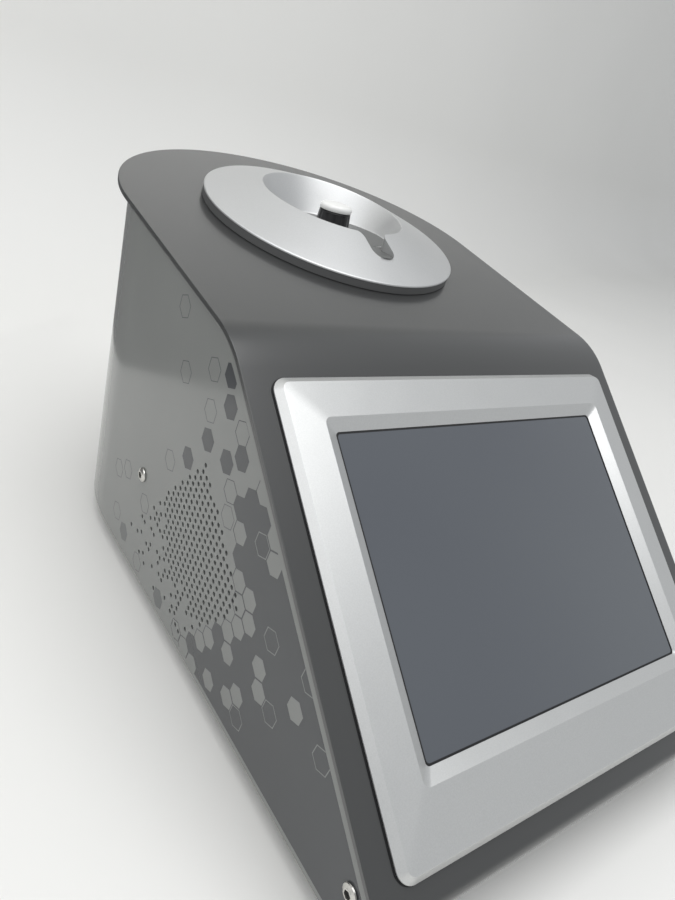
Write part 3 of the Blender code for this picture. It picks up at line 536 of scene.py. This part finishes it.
def build_cover():
    """The bent dark cover with softened edges, its screen window and port hole."""
    outer = cover_line(0.0)
    inner = cover_line(SHEET)
    outline = [tuple(p) for p in outer] + [tuple(p) for p in reversed(inner)]
    cover = slab("cover_skin", outline, 2 * HALF_WIDTH, COVER_PAINT)
    place(cover, (0, 0, 0), YZ_TURN)
    front = FRONT_Y - OVERRUN
    plan = [(-HALF_WIDTH - GAP, front), (HALF_WIDTH + GAP, front)] + cover_back()
    limit = slab("cover_plan", plan, 0.40, COVER_PAINT)
    place(limit, (0, 0, 0.19))
    boolean(cover, limit, 'INTERSECT')
    window = box("screen_window",
                 (SCREEN_WIDTH + WINDOW_CLEARANCE, SCREEN_HEIGHT + WINDOW_CLEARANCE, 0.04),
                 screen_middle(), COVER_PAINT, FACE_TURN)
    boolean(cover, window, 'DIFFERENCE')
    reach = HUB_RADIUS + GAP
    hole = turned("port_hole", [(0, OVERRUN), (reach, OVERRUN), (reach, -OVERRUN), (0, -OVERRUN)],
                  COVER_PAINT, port_point(), TOP_TURN)
    boolean(cover, hole, 'DIFFERENCE')
    smooth_by_angle(cover.data, 30)
    soften(cover, 0.0004, 2, 50)
    even_normals(cover)
    finish_piece(cover, "housing", "cover_paint", "front_top_cover")


def build_shell():
    """The light side and back sheet with its vents, trimmed under the cover."""
    inner = SIDE_X - SHELL_SHEET
    front = FRONT_Y + 0.002
    outline = [(-SIDE_X, front)] + round_back(SIDE_X)[::-1] + [(SIDE_X, front)]
    outline += [(inner, front)] + round_back(inner) + [(-inner, front)]
    shell = slab("shell_skin", outline, 0.30, SHELL_PAINT)
    place(shell, (0, 0, SHELL_FOOT + 0.15))
    line = [tuple(p) for p in cover_line(SHEET + GAP)]
    above = line + [(line[-1][0], -0.02), (FRONT_Y - 0.06, -0.02), (FRONT_Y - 0.06, 0.36),
                    (line[0][0], 0.36)]
    trim = slab("shell_trim", above, 0.36, SHELL_PAINT)
    place(trim, (0, 0, 0), YZ_TURN)
    boolean(shell, trim, 'DIFFERENCE')
    low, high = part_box("rear_panel")
    window = box("rear_window", (high.x - low.x - 0.006, 0.10, high.z - low.z - 0.006),
                 (0, REAR_Y, (low.z + high.z) / 2), SHELL_PAINT)
    boolean(shell, window, 'DIFFERENCE')
    boolean(shell, vent_cutter(), 'DIFFERENCE')
    smooth_by_angle(shell.data, 30)
    even_normals(shell)
    finish_piece(shell, "housing", "shell_paint", "side_shell")


def vent_spots():
    """The (y, z) centre of every vent hole."""
    along = Vector((cos(HOLE_TURN), sin(HOLE_TURN))) * HOLE_PITCH
    up = Vector((-sin(HOLE_TURN), cos(HOLE_TURN))) * HOLE_PITCH
    spots = []
    for row, cells in enumerate(VENT_ROWS):
        for column, cell in enumerate(cells):
            if cell == "O":
                spots.append(HOLE_ORIGIN + along * (column - VENT_COLUMN_BEFORE)
                             + up * (VENT_ROW_ABOVE - row))
    return spots


def vent_cutter():
    """One mesh of short rods that drills both sides."""
    shape = bmesh.new()
    for side in (-1, 1):
        for spot in vent_spots():
            stand = Matrix.Translation((side * SIDE_X, spot.x, spot.y)) @ TURN_TO_X.to_4x4()
            bmesh.ops.create_cone(shape, cap_ends=True, segments=14, radius1=HOLE_RADIUS,
                                  radius2=HOLE_RADIUS, depth=0.010, matrix=stand)
    return new_piece("vent_rods", shape, SHELL_PAINT)


# ---------------------------------------------------------------- printed honeycomb

def hexagon(centre, radius):
    """Corners of a hexagon turned with the honeycomb."""
    return [centre + Vector((cos(CELL_TURN + pi * (2 * k + 1) / 6),
                             sin(CELL_TURN + pi * (2 * k + 1) / 6))) * radius for k in range(6)]


def cell_centre(i, j):
    """Centre of cell i of row j; rows run down the panel."""
    across = Vector((cos(CELL_TURN), sin(CELL_TURN))) * CELL_PITCH
    down = Vector((cos(CELL_TURN - 2 * pi / 3), sin(CELL_TURN - 2 * pi / 3))) * CELL_PITCH
    return CELL_ORIGIN + across * i + down * j


def honeycomb_cells():
    """Every named cell and every printed cell before it, as (centre, kind)."""
    for j, (first, kinds) in HONEYCOMB.items():
        if j >= FIRST_PRINTED_ROW:
            for i in range(first - PRINTED_RUN, first):
                yield cell_centre(i, j), "#"
        for k, kind in enumerate(kinds):
            yield cell_centre(first + k, j), kind


def trim_to_panel(shape):
    """Cut the graphic off along the cover's edge, the front and the foot."""
    line = cover_line(PRINT_INSET, 10, 3)
    corners = [Vector((0.16, line[0].y + (0.16 - line[0].x) * tan(TOP_TILT)))] + line[1:]
    for a, b in zip(corners, corners[1:]):
        ahead = (b - a).normalized()
        slice_off(shape, a, Vector((ahead.y, -ahead.x)))
    slice_off(shape, Vector((0.0, PRINT_FOOT)), Vector((0.0, -1.0)))


def slice_off(shape, point, outward):
    """Remove what lies on the outward side of a line of the panel, given in (y, z)."""
    every = shape.verts[:] + shape.edges[:] + shape.faces[:]
    bmesh.ops.bisect_plane(shape, geom=every, dist=0.000001, plane_co=(0, point.x, point.y),
                           plane_no=(0, outward.x, outward.y), clear_outer=True)


def print_layer(name, polygons, side, finish, rise):
    """A thin printed layer on one side: filled polygons, or (outer, inner) pairs as rings."""
    shape = bmesh.new()
    for polygon in polygons:
        if isinstance(polygon, tuple):
            outer, inner = [[shape.verts.new((0, p.x, p.y)) for p in ring] for ring in polygon]
            for k in range(6):
                n = (k + 1) % 6
                shape.faces.new((outer[k], outer[n], inner[n], inner[k]))
        else:
            shape.faces.new([shape.verts.new((0, p.x, p.y)) for p in polygon])
    trim_to_panel(shape)
    bmesh.ops.remove_doubles(shape, verts=shape.verts, dist=0.00002)
    base = shape.faces[:]
    grown = bmesh.ops.extrude_face_region(shape, geom=base)
    raised = [item for item in grown["geom"] if isinstance(item, bmesh.types.BMVert)]
    bmesh.ops.translate(shape, verts=raised, vec=(side * rise, 0, 0))
    bmesh.ops.translate(shape, verts=shape.verts, vec=(side * (SIDE_X - HAIR / 4), 0, 0))
    bmesh.ops.recalc_face_normals(shape, faces=shape.faces)
    made = new_piece(name, shape, finish, smooth=False)
    return finish_piece(made, "housing", "cover_paint")


def build_side_print(side, label):
    """The honeycomb graphic of one side."""
    cells = list(honeycomb_cells())
    filled = [hexagon(centre, CELL_RADIUS) for centre, kind in cells if kind in "#o"]
    light = [(hexagon(centre, CELL_RADIUS * 0.97), hexagon(centre, CELL_RADIUS * 0.89))
             for centre, kind in cells if kind == "o"]
    dark = [(hexagon(centre, CELL_RADIUS), hexagon(centre, CELL_RADIUS * 0.93))
            for centre, kind in cells if kind == "."]
    lone, faint, rings = [[Vector(spot) * 0.001 for spot in spots]
                          for spots in (LONE_SOLID, LONE_PALE, LONE_RINGS)]
    print_layer("print_field_" + label, filled, side, PRINT_INK, HAIR)
    print_layer("print_light_rings_" + label, light, side, SHELL_PAINT, 2 * HAIR)
    print_layer("print_dark_rings_" + label, dark, side, PRINT_INK, HAIR)
    for name, spots, ink in (("lone", lone, PRINT_INK), ("faint", faint, PALE_INK)):
        solid = [hexagon(spot, CELL_RADIUS) for spot in spots]
        print_layer(f"print_{name}_cells_{label}", solid, side, ink, HAIR)
    thin = [(hexagon(spot, CELL_RADIUS), hexagon(spot, CELL_RADIUS * 0.93)) for spot in rings]
    print_layer("print_lone_rings_" + label, thin, side, PALE_INK, HAIR)


# ---------------------------------------------------------------- screen

def screen_middle():
    """The screen's middle on the sloped sheet."""
    return on_face(BEZEL_TOP_FROM_BROW + BEZEL_HEIGHT / 2 - SCREEN_LIFT)


def bezel_middle():
    """The silver frame's middle on the sloped sheet."""
    return on_face(BEZEL_TOP_FROM_BROW + BEZEL_HEIGHT / 2)


def round_rectangle(width, height, radius, steps=10):
    """Corner-rounded rectangle about the origin."""
    points = []
    for quarter in range(4):
        sx = 1 if quarter in (0, 3) else -1
        sy = 1 if quarter in (0, 1) else -1
        for k in range(steps + 1):
            angle = pi / 2 * (quarter + k / steps)
            points.append((sx * (width / 2 - radius) + radius * cos(angle),
                           sy * (height / 2 - radius) + radius * sin(angle)))
    return points


def frame_loop(width, height, radius, shift, rise):
    """A rounded rectangle at a height, shifted up the slope."""
    return [(x, y + shift, rise) for x, y in round_rectangle(width, height, radius)]


def build_bezel():
    """The silver frame: a flat outer chamfer, gently falling bars and a steep inner slope."""
    w, h, r = BEZEL_WIDTH, BEZEL_HEIGHT, BEZEL_CORNER
    sw, sh, lift = SCREEN_WIDTH, SCREEN_HEIGHT, SCREEN_LIFT
    chamfer, crest = 0.0036, 0.0140
    loops = [
        frame_loop(w - 0.0012, h - 0.0012, r - 0.0006, 0, GAP),
        frame_loop(w, h, r, 0, 0.0009),
        frame_loop(w, h, r, 0, 0.0017),
        frame_loop(w - 2 * chamfer, h - 2 * chamfer, r - chamfer, 0, 0.0052),
        frame_loop(sw + crest, sh + crest, 0.0038, lift, BEZEL_RISE),
        frame_loop(sw, sh, 0.0024, lift, SCREEN_DEPTH + 0.0004),
        frame_loop(sw + 0.0002, sh + 0.0002, 0.0024, lift, SCREEN_DEPTH + 0.0002),
        frame_loop(sw + 0.0090, sh + 0.0090, 0.0024, lift, SCREEN_DEPTH + 0.0002),
        frame_loop(sw + 0.0092, sh + 0.0092, 0.0024, lift, GAP),
    ]
    bezel = lofted("bezel_frame", loops, BEZEL_SILVER, ring=True, angle=50.0)
    place(bezel, bezel_middle(), FACE_TURN)
    soften(bezel, 0.00035, 2, 18)
    even_normals(bezel)
    finish_piece(bezel, "housing", "bezel_metal", "display_bezel")


def build_screen():
    """The dark glass and the black gasket line that shows round it."""
    width = SCREEN_WIDTH + 2 * GLASS_BORDER
    height = SCREEN_HEIGHT + 2 * GLASS_BORDER
    low, high = -0.0010, SCREEN_DEPTH
    loops = [frame_loop(width, height, 0.002, 0, low), frame_loop(width, height, 0.002, 0, high)]
    glass = place(lofted("screen_glass", loops, SCREEN_GLASS), screen_middle(), FACE_TURN)
    finish_piece(glass, "housing", "touch_glass", "touch_glass")
    edge = 0.0010
    inner_w, inner_h = SCREEN_WIDTH - 2 * edge, SCREEN_HEIGHT - 2 * edge
    outer_w, outer_h = SCREEN_WIDTH + 0.002, SCREEN_HEIGHT + 0.002
    top = high + 0.00018
    loops = [frame_loop(outer_w, outer_h, 0.003, 0, high - 0.0001),
             frame_loop(outer_w, outer_h, 0.003, 0, top),
             frame_loop(inner_w + 0.0001, inner_h + 0.0001, 0.0021, 0, top),
             frame_loop(inner_w, inner_h, 0.0020, 0, high - 0.0001)]
    dark_line = lofted("screen_seal", loops, SEAL_AND_SHADE_BLACK, ring=True)
    place(dark_line, screen_middle(), FACE_TURN)
    finish_piece(dark_line, "housing", "black_plastic")
    # Painted shadow round the silver frame.
    build_frame_shadow_line()


def build_frame_shadow_line():
    """Painted shadow: a black line between the frame and the cover, in place of the shade under the
    frame's edge.
    """
    w, h, r = BEZEL_WIDTH, BEZEL_HEIGHT, BEZEL_CORNER
    # The black sheet reaches just past the frame's edge, so the painted shadow shows as a thin line
    # round it.
    loops = [frame_loop(w + 0.0012, h + 0.0012, r + 0.0006, 0, 0.00002),
             frame_loop(w + 0.0011, h + 0.0011, r + 0.00055, 0, 0.00045),
             frame_loop(w - 0.0060, h - 0.0060, r - 0.0030, 0, 0.00045),
             frame_loop(w - 0.0060, h - 0.0060, r - 0.0030, 0, 0.00002)]
    dark_line = lofted("frame_shadow_line", loops, SEAL_AND_SHADE_BLACK, ring=True)
    place(dark_line, bezel_middle(), FACE_TURN)
    finish_piece(dark_line, "housing", "black_plastic")


# ---------------------------------------------------------------- sample port

def port_point():
    """The port's middle on the tilted top."""
    return Vector((0.0, PORT_Y, top_height(PORT_Y)))


def seat_z():
    """Height of the funnel's level floor."""
    return top_height(PORT_Y) + FUNNEL_FLOOR_RISE


def rim_point(angle, reach=0.0):
    """A point of the funnel's rim on the disc's flank, or of a curve a little outside it."""
    radius = RIM_RADIUS + reach
    x, y = radius * cos(angle), RIM_SHIFT + radius * sin(angle)
    rise = DISC_RIM_HEIGHT + (DISC_RADIUS - Vector((x, y)).length) * DISC_FLANK
    return port_point() + TOP_TURN @ Vector((x, y, rise))


def disc_loop(radius, rise, steps):
    """A circle about the disc's own axis, at a height off the cover."""
    return [port_point() + TOP_TURN @ Vector((radius * cos(2 * pi * k / steps),
                                                radius * sin(2 * pi * k / steps), rise))
            for k in range(steps)]


def level_loop(radius, height, steps):
    """A level circle about the bore."""
    return [Vector((radius * cos(2 * pi * k / steps), BORE_Y + radius * sin(2 * pi * k / steps),
                    height)) for k in range(steps)]


def funnel_loop(rise, steps):
    """A loop of the funnel's wall, from its floor at 0 to its rim at 1."""
    rims = [rim_point(2 * pi * k / steps) for k in range(steps)]
    feet = level_loop(FUNNEL_FLOOR_RADIUS, seat_z(), steps)
    return [foot.lerp(rim, rise) for foot, rim in zip(feet, rims)]


def build_port():
    """The dished disc with its oblique funnel, level floor, bore and thumb slot."""
    steps = 192
    r, top = DISC_RADIUS, DISC_RIM_HEIGHT
    floor = seat_z()
    loops = [disc_loop(HUB_RADIUS, -0.017, steps), disc_loop(HUB_RADIUS, GAP, steps),
             disc_loop(r - 0.0010, GAP, steps), disc_loop(r - 0.0010, top - 0.0013, steps),
             disc_loop(r, top - 0.0012, steps), disc_loop(r, top - 0.0007, steps),
             disc_loop(r - 0.00015, top - 0.00030, steps),
             disc_loop(r - 0.0005, top - 0.00005, steps),
             disc_loop(r - 0.0010, top + 0.0010 * DISC_FLANK, steps),
             *[disc_loop(radius, top + (r - radius) * DISC_FLANK, steps)
               for radius in SLOT_FLANK_LOOPS],
             [rim_point(2 * pi * k / steps, 0.0012) for k in range(steps)],
             [p - Vector((0, 0, 0.00012)) for p in
              [rim_point(2 * pi * k / steps, 0.0003) for k in range(steps)]],
             funnel_loop(0.96, steps), funnel_loop(0.5, steps), funnel_loop(0.05, steps),
             level_loop(FUNNEL_FLOOR_RADIUS - 0.0004, floor + 0.0001, steps),
             level_loop(FUNNEL_FLOOR_RADIUS - 0.0012, floor, steps),
             level_loop(LINER_RADIUS + GAP + 0.0006, floor, steps),
             level_loop(LINER_RADIUS + GAP, floor - 0.0006, steps),
             level_loop(LINER_RADIUS + GAP, floor - 0.012, steps)]
    disc = lofted("port_dish", loops, DISC_SILVER, ring=True, angle=28.0)
    boolean(disc, thumb_slot(), 'DIFFERENCE')
    smooth_by_angle(disc.data, 28)
    even_normals(disc)
    finish_piece(disc, "housing", "disc_metal", "port_disc")
    build_port_lining()


def build_port_lining():
    """The thin dark lining on the floors of funnel and slot, and the band round the disc."""
    inner, outer = LINING_INNER_RADIUS, FUNNEL_FLOOR_RADIUS - 0.0016
    low = seat_z() + 0.00002
    high = low + LINING_THICKNESS
    loops = [level_loop(radius, height, 128) for radius, height in
             ((inner, low), (inner, high), (outer, high), (outer, low))]
    ring = lofted("port_lining", loops, PORT_LINING, ring=True)
    finish_piece(ring, "housing", "disc_metal")
    strip = slab("slot_lining", slot_outline(-0.0440, 0.0002), LINING_THICKNESS, PORT_LINING)
    place(strip, (0, PORT_Y, high))
    finish_piece(strip, "housing", "disc_metal")
    near, far = DISC_RADIUS - 0.0009, DISC_RADIUS - 0.0003
    low, high = GAP + 0.0001, DISC_RIM_HEIGHT - 0.0014
    loops = [disc_loop(radius, rise, 192) for radius, rise in
             ((near, low), (near, high), (far, high), (far, low))]
    band = lofted("disc_edge_band", loops, EDGE_BAND, ring=True)
    finish_piece(band, "housing", "disc_metal")


def slot_outline(start, inset):
    """Plan of the level slot to the front, with a round end and a flared mouth."""
    half = SLOT_HALF_WIDTH - inset
    end = SLOT_END - SLOT_HALF_WIDTH
    wide = half + SLOT_FLARE
    right = [(wide, start)]
    for k in range(13):
        angle = pi / 2 * (1 - k / 12)
        right.append((wide - SLOT_FLARE * cos(angle), -SLOT_MOUTH + SLOT_FLARE * sin(angle)))
    right.append((half, -end))
    tip = [(half * cos(pi * k / 24), -end - half * sin(pi * k / 24)) for k in range(1, 24)]
    return right + tip + [(-x, y) for x, y in reversed(right)]


def thumb_slot():
    """The cutter of the thumb slot."""
    height = 0.060
    slot = slab("thumb_slot", slot_outline(-0.030, 0.0), height, DISC_SILVER)
    return place(slot, (0, PORT_Y, seat_z() + 0.00008 + height / 2))


def build_sample():
    """The fluted black collar and the domed white cap of the sample."""
    low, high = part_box("sample_collar")
    radius, height = (high.x - low.x) / 2, high.z - low.z
    flutes, steps = 12, 192
    taper = 0.0012 / height
    levels = ((0.0, 0.0005, 0.0), (0.0004, 0.0001, 0.0), (0.0012, 0.0, 0.0), (0.0018, 0.0002, 0.6),
              (0.0024, 0.0002, 1.0), (height - 0.0018, 0.0002, 1.0), (height - 0.0012, 0.0002, 0.6),
              (height - 0.0007, 0.0001, 0.0), (height - 0.0002, 0.0003, 0.0), (height, 0.0007, 0.0))
    loops = []
    for rise, inset, depth in levels:
        loop = []
        for k in range(steps):
            angle = 2 * pi * k / steps
            groove = 0.00045 * depth * max(0.0, cos(angle * flutes)) ** 0.6
            reach = radius - inset - groove - rise * taper
            loop.append((reach * cos(angle), BORE_Y + reach * sin(angle), low.z + rise))
        loops.append(loop)
    collar = lofted("sample_grip", loops, COLLAR_BLACK, angle=40.0)
    finish_piece(collar, "sample", "black_plastic", "sample_collar")
    low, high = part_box("sample_cap")
    radius, height = (high.x - low.x) / 2, high.z - low.z
    crown, edge = 0.0012, 0.0032
    profile = [(0.0, height)]
    for k in range(1, 6):
        reach = (radius - edge) * k / 5
        profile.append((reach, height - crown * (k / 5) ** 2))
    for k in range(1, 9):
        angle = pi / 2 * k / 8
        profile.append((radius - edge + edge * sin(angle),
                        height - crown - edge * 0.9 * (1 - cos(angle))))
    profile += [(radius, 0.0010), (radius - 0.0003, 0.0003), (radius - 0.0010, 0.0), (0.0, 0.0)]
    cap = turned("sample_dome", profile, WHITE_PLASTIC, (0, BORE_Y, low.z), steps=96)
    finish_piece(cap, "sample", "white_plastic", "sample_cap")


# ---------------------------------------------------------------- fasteners and feet

def build_side_screws():
    """Button heads with a rolled edge and a hex socket, with painted shade in the socket."""
    for side, name in ((-1, "left"), (1, "right")):
        turn = TURN_TO_X if side > 0 else TURN_TO_MINUS_X
        for label in ("front", "rear"):
            node = f"side_screw_{label}_{name}"
            low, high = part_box(node)
            middle = (low + high) / 2
            radius = (high.z - low.z) / 2
            profile = [(0.0, 0.0022), (0.0029, 0.0022), (0.0033, 0.0019),
                       (radius - 0.0008, 0.0016), (radius - 0.0002, 0.0012), (radius, 0.0006),
                       (radius - 0.0001, GAP), (0.0024, GAP), (0.0024, -0.0080), (0.0, -0.0080)]
            head = turned("head_" + node, profile, STAINLESS, (side * SIDE_X, middle.y, middle.z),
                          turn, 48)
            socket = slab("socket", [(0.0023 * cos(pi * k / 3), 0.0023 * sin(pi * k / 3))
                                     for k in range(6)], 0.0036, STAINLESS)
            place(socket, (side * (SIDE_X + 0.0024), middle.y, middle.z), turn)
            boolean(head, socket, 'DIFFERENCE')
            smooth_by_angle(head.data, 35)
            # Painted shade: a near-black disc at the bottom of each socket darkens the recess.
            socket_shade = turned("socket_shade_" + node, [(0.0, 0.0009), (0.0019, 0.0009), (0.0019, 0.0007),
                                           (0.0, 0.0007)], SEAL_AND_SHADE_BLACK,
                          (side * SIDE_X, middle.y, middle.z), turn, 24)
            finish_piece(head, "housing", "steel", node)
            finish_piece(socket_shade, "housing", "steel")


def build_feet():
    """Rubber feet with a rolled lip and a ring of grip at the sole."""
    for name in ("front_left", "front_right", "rear_left", "rear_right"):
        low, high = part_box("foot_" + name)
        middle = (low + high) / 2
        radius = (high.x - low.x) / 2
        top = high.z
        profile = [(0.0056, top), (radius - 0.0010, top), (radius, top - 0.0012),
                   (radius - 0.0003, 0.0040), (radius - 0.0014, 0.0010), (radius - 0.0028, 0.0),
                   (radius - 0.0060, 0.0), (radius - 0.0064, 0.0006), (0.0066, 0.0006),
                   (0.0056, 0.0012)]
        foot = turned("pad_" + name, profile, RUBBER, (middle.x, middle.y, 0), steps=64)
        finish_piece(foot, "housing", "rubber", "foot_" + name)


# ---------------------------------------------------------------- rear sockets

def build_rear_details():
    """Contacts and small fixings that a person would see in the connector bay."""
    low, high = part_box("rear_panel")
    face = low.y + 0.002
    for i, x in enumerate((low.x + 0.006, high.x - 0.006)):
        for k, z in enumerate((low.z + 0.006, high.z - 0.006)):
            stud = turned(f"panel_screw_{i}_{k}", [(0, 0.0016), (0.0012, 0.0016), (0.0022, 0.0010),
                                                   (0.0026, 0.0001), (0, 0.0001)], STAINLESS,
                          (x, face, z), TURN_TO_Y, 24)
            finish_piece(stud, "housing", "steel")
    for node in ("usb_socket_1", "usb_socket_2"):
        low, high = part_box(node)
        middle = (low + high) / 2
        tongue = box("tongue_" + node, (0.0016, 0.0080, 0.0100),
                     (middle.x - 0.0010, high.y - 0.0060, middle.z), WHITE_PLASTIC, bevel=0.0002)
        finish_piece(tongue, "housing", "white_plastic")
    low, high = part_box("network_socket")
    middle = (low + high) / 2
    for k in range(8):
        wire = box(f"network_contact_{k}", (0.0005, 0.0060, 0.0006),
                   (middle.x - 0.0036 + k * 0.00103, high.y - 0.0070, middle.z + 0.0032),
                   GOLD_PLATE, Matrix.Rotation(radians(-16), 3, 'X'), 0.0001)
        finish_piece(wire, "housing", "brass")
    build_coaxial_threads()


def build_coaxial_threads():
    """Thread rings and a centre pin on each coaxial socket."""
    for node in ("coaxial_socket_1", "coaxial_socket_2"):
        low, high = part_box(node)
        middle = (low + high) / 2
        profile = [(0.0030, 0.0099)]
        for k in range(12):
            z = 0.0096 - k * 0.0006
            profile += [(0.00325, z), (0.00295, z - 0.0003)]
        profile += [(0.0030, 0.0024)]
        profile += [(0.0024, 0.0024), (0.0024, 0.0099)]
        thread = turned("thread_" + node, profile, GOLD_PLATE, (middle.x, low.y, middle.z),
                        TURN_TO_Y, 32)
        finish_piece(thread, "housing", "brass")
        pin = turned("pin_" + node, [(0, 0.0098), (0.0005, 0.0098), (0.0006, 0.0093), (0, 0.0093)],
                     GOLD_PLATE, (middle.x, low.y, middle.z), TURN_TO_Y, 16)
        finish_piece(pin, "housing", "brass")


def build_rocker():
    """The switch's paddle, hollowed across its face."""
    low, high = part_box("switch_frame")
    middle = (low + high) / 2
    pivot = Vector((middle.x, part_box("power_rocker")[1].y - 0.0089, middle.z))
    outline = [(-0.0099, 0.0068), (-0.0060, 0.0060), (0.0, 0.0052), (0.0060, 0.0060),
               (0.0099, 0.0068), (0.0095, -0.0010), (0.0, -0.0045), (-0.0095, -0.0010)]
    paddle = slab("switch_paddle", [(y, z) for z, y in outline], 0.0146, GLOSS_BLACK)
    place(paddle, pivot, Matrix.Rotation(radians(12), 3, 'X') @ YZ_TURN)
    soften(paddle, 0.0005, 3, 25)
    finish_piece(paddle, "rocker", "black_plastic", "power_rocker")


# ---------------------------------------------------------------- carried-over CAD pieces

def dress_cad_nodes():
    """Give every CAD node that still shows a procedural finish for its slot."""
    finishes = {"zinc_sheet": ZINC_SHEET, "steel": STAINLESS, "rubber": RUBBER,
                "black_plastic": BLACK_PLASTIC, "white_plastic": WHITE_PLASTIC,
                "tube_glass": TUBE_GLASS, "magnet_iron": MAGNET_IRON, "brass": GOLD_PLATE,
                "foam": FOAM, "circuit_board": CIRCUIT_BOARD, "alloy_case": ZINC_SHEET,
                "cover_paint": COVER_PAINT, "shell_paint": SHELL_PAINT,
                "bezel_metal": BEZEL_SILVER, "disc_metal": DISC_SILVER,
                "touch_glass": SCREEN_GLASS}
    slot_of = {part["node"]: part["material_slot"] for part in frame["record"]["subparts"]}
    for node, made in frame["nodes"].items():
        for slot in made.material_slots:
            slot.material = finishes[slot_of[node]]


# ---------------------------------------------------------------- studio

def build_floor():
    """A pale bench that sweeps up into a pale wall behind the instrument."""
    edge, radius, reach = 0.62, 0.30, 3.0
    line = [(-reach, 0.0), (edge, 0.0)]
    for k in range(1, 17):
        angle = pi / 2 * k / 16
        line.append((edge + radius * sin(angle), radius * (1 - cos(angle))))
    line.append((edge + radius, 2.6))
    shape = bmesh.new()
    rows = [[shape.verts.new((x, y, z)) for x in (-3.0, 4.0)] for y, z in line]
    for near, far in zip(rows, rows[1:]):
        shape.faces.new((near[0], near[1], far[1], far[0]))
    pale, tree, shader = principled("pale_bench", (0.80, 0.795, 0.775), 0.0, 0.62)
    vary_colour(tree, shader, object_noise(tree, 2.0), (0.79, 0.785, 0.765), (0.81, 0.805, 0.785))
    floor = new_piece("bench_and_wall", shape, pale)
    place(floor, (0, 0, 0), Matrix.Rotation(radians(14), 3, 'Z'))


def build_grey_card():
    """A grey card behind the left side, seen only as a reflection high in the shell's paint."""
    shape = bmesh.new()
    (x0, y0), (x1, y1) = (-0.64, 0.14), (-0.04, 0.55)
    corners = [(x0, y0, 0.0), (x1, y1, 0.0), (x1, y1, 0.5), (x0, y0, 0.5)]
    shape.faces.new([shape.verts.new(corner) for corner in corners])
    grey, tree, shader = principled("card_grey", (0.22, 0.22, 0.225), 0.0, 0.9)
    vary_colour(tree, shader, object_noise(tree, 3.0), (0.21, 0.21, 0.215), (0.23, 0.23, 0.235))
    card = new_piece("grey_card", shape, grey)
    card.visible_camera = False
    card.visible_diffuse = False
    card.visible_shadow = False


def build_lights():
    """Broad soft light from the left and above."""
    bpy.context.scene.view_settings.view_transform = 'Standard'
    world = bpy.data.worlds.new("studio")
    bpy.context.scene.world = world
    world.use_nodes = True
    world.node_tree.nodes["Background"].inputs["Color"].default_value = (0.80, 0.82, 0.84, 1.0)
    world.node_tree.nodes["Background"].inputs["Strength"].default_value = 0.69
    for name, spot, target, size, power in (
            ("overhead", (-0.12, -0.45, 2.0), (-0.12, -0.45, 0.0), 1.9, 26.0),
            ("left", (-1.7, -0.3, 1.3), (0.0, -0.2, 0.1), 1.4, 7.0)):
        lamp = bpy.data.lights.new(name, 'AREA')
        lamp.shape = 'SQUARE'
        lamp.size = size
        lamp.energy = power
        made = bpy.data.objects.new(name, lamp)
        bpy.context.scene.collection.objects.link(made)
        made.location = spot
        made.rotation_euler = (Vector(target) - Vector(spot)).to_track_quat('-Z', 'Y').to_euler()


def build_camera():
    """A wide phone-like view from the front left, close above the sloped screen."""
    lens = bpy.data.cameras.new("camera")
    lens.sensor_width = 36.0
    lens.lens = 28.19
    lens.clip_start = 0.01
    made = bpy.data.objects.new("camera", lens)
    bpy.context.scene.collection.objects.link(made)
    made.location = (-0.3161, -0.3264, 0.3341)
    made.rotation_euler = (radians(62.832), radians(-14.559), radians(-34.053))
    bpy.context.scene.camera = made


def main():
    """Dress the instrument and set up the studio."""
    dress_cad_nodes()
    build_cover()
    build_shell()
    for side, label in ((-1, "left"), (1, "right")):
        build_side_print(side, label)
    build_bezel()
    build_screen()
    build_port()
    build_sample()
    build_side_screws()
    build_feet()
    build_rear_details()
    build_rocker()
    build_floor()
    build_grey_card()
    build_lights()
    build_camera()


main()
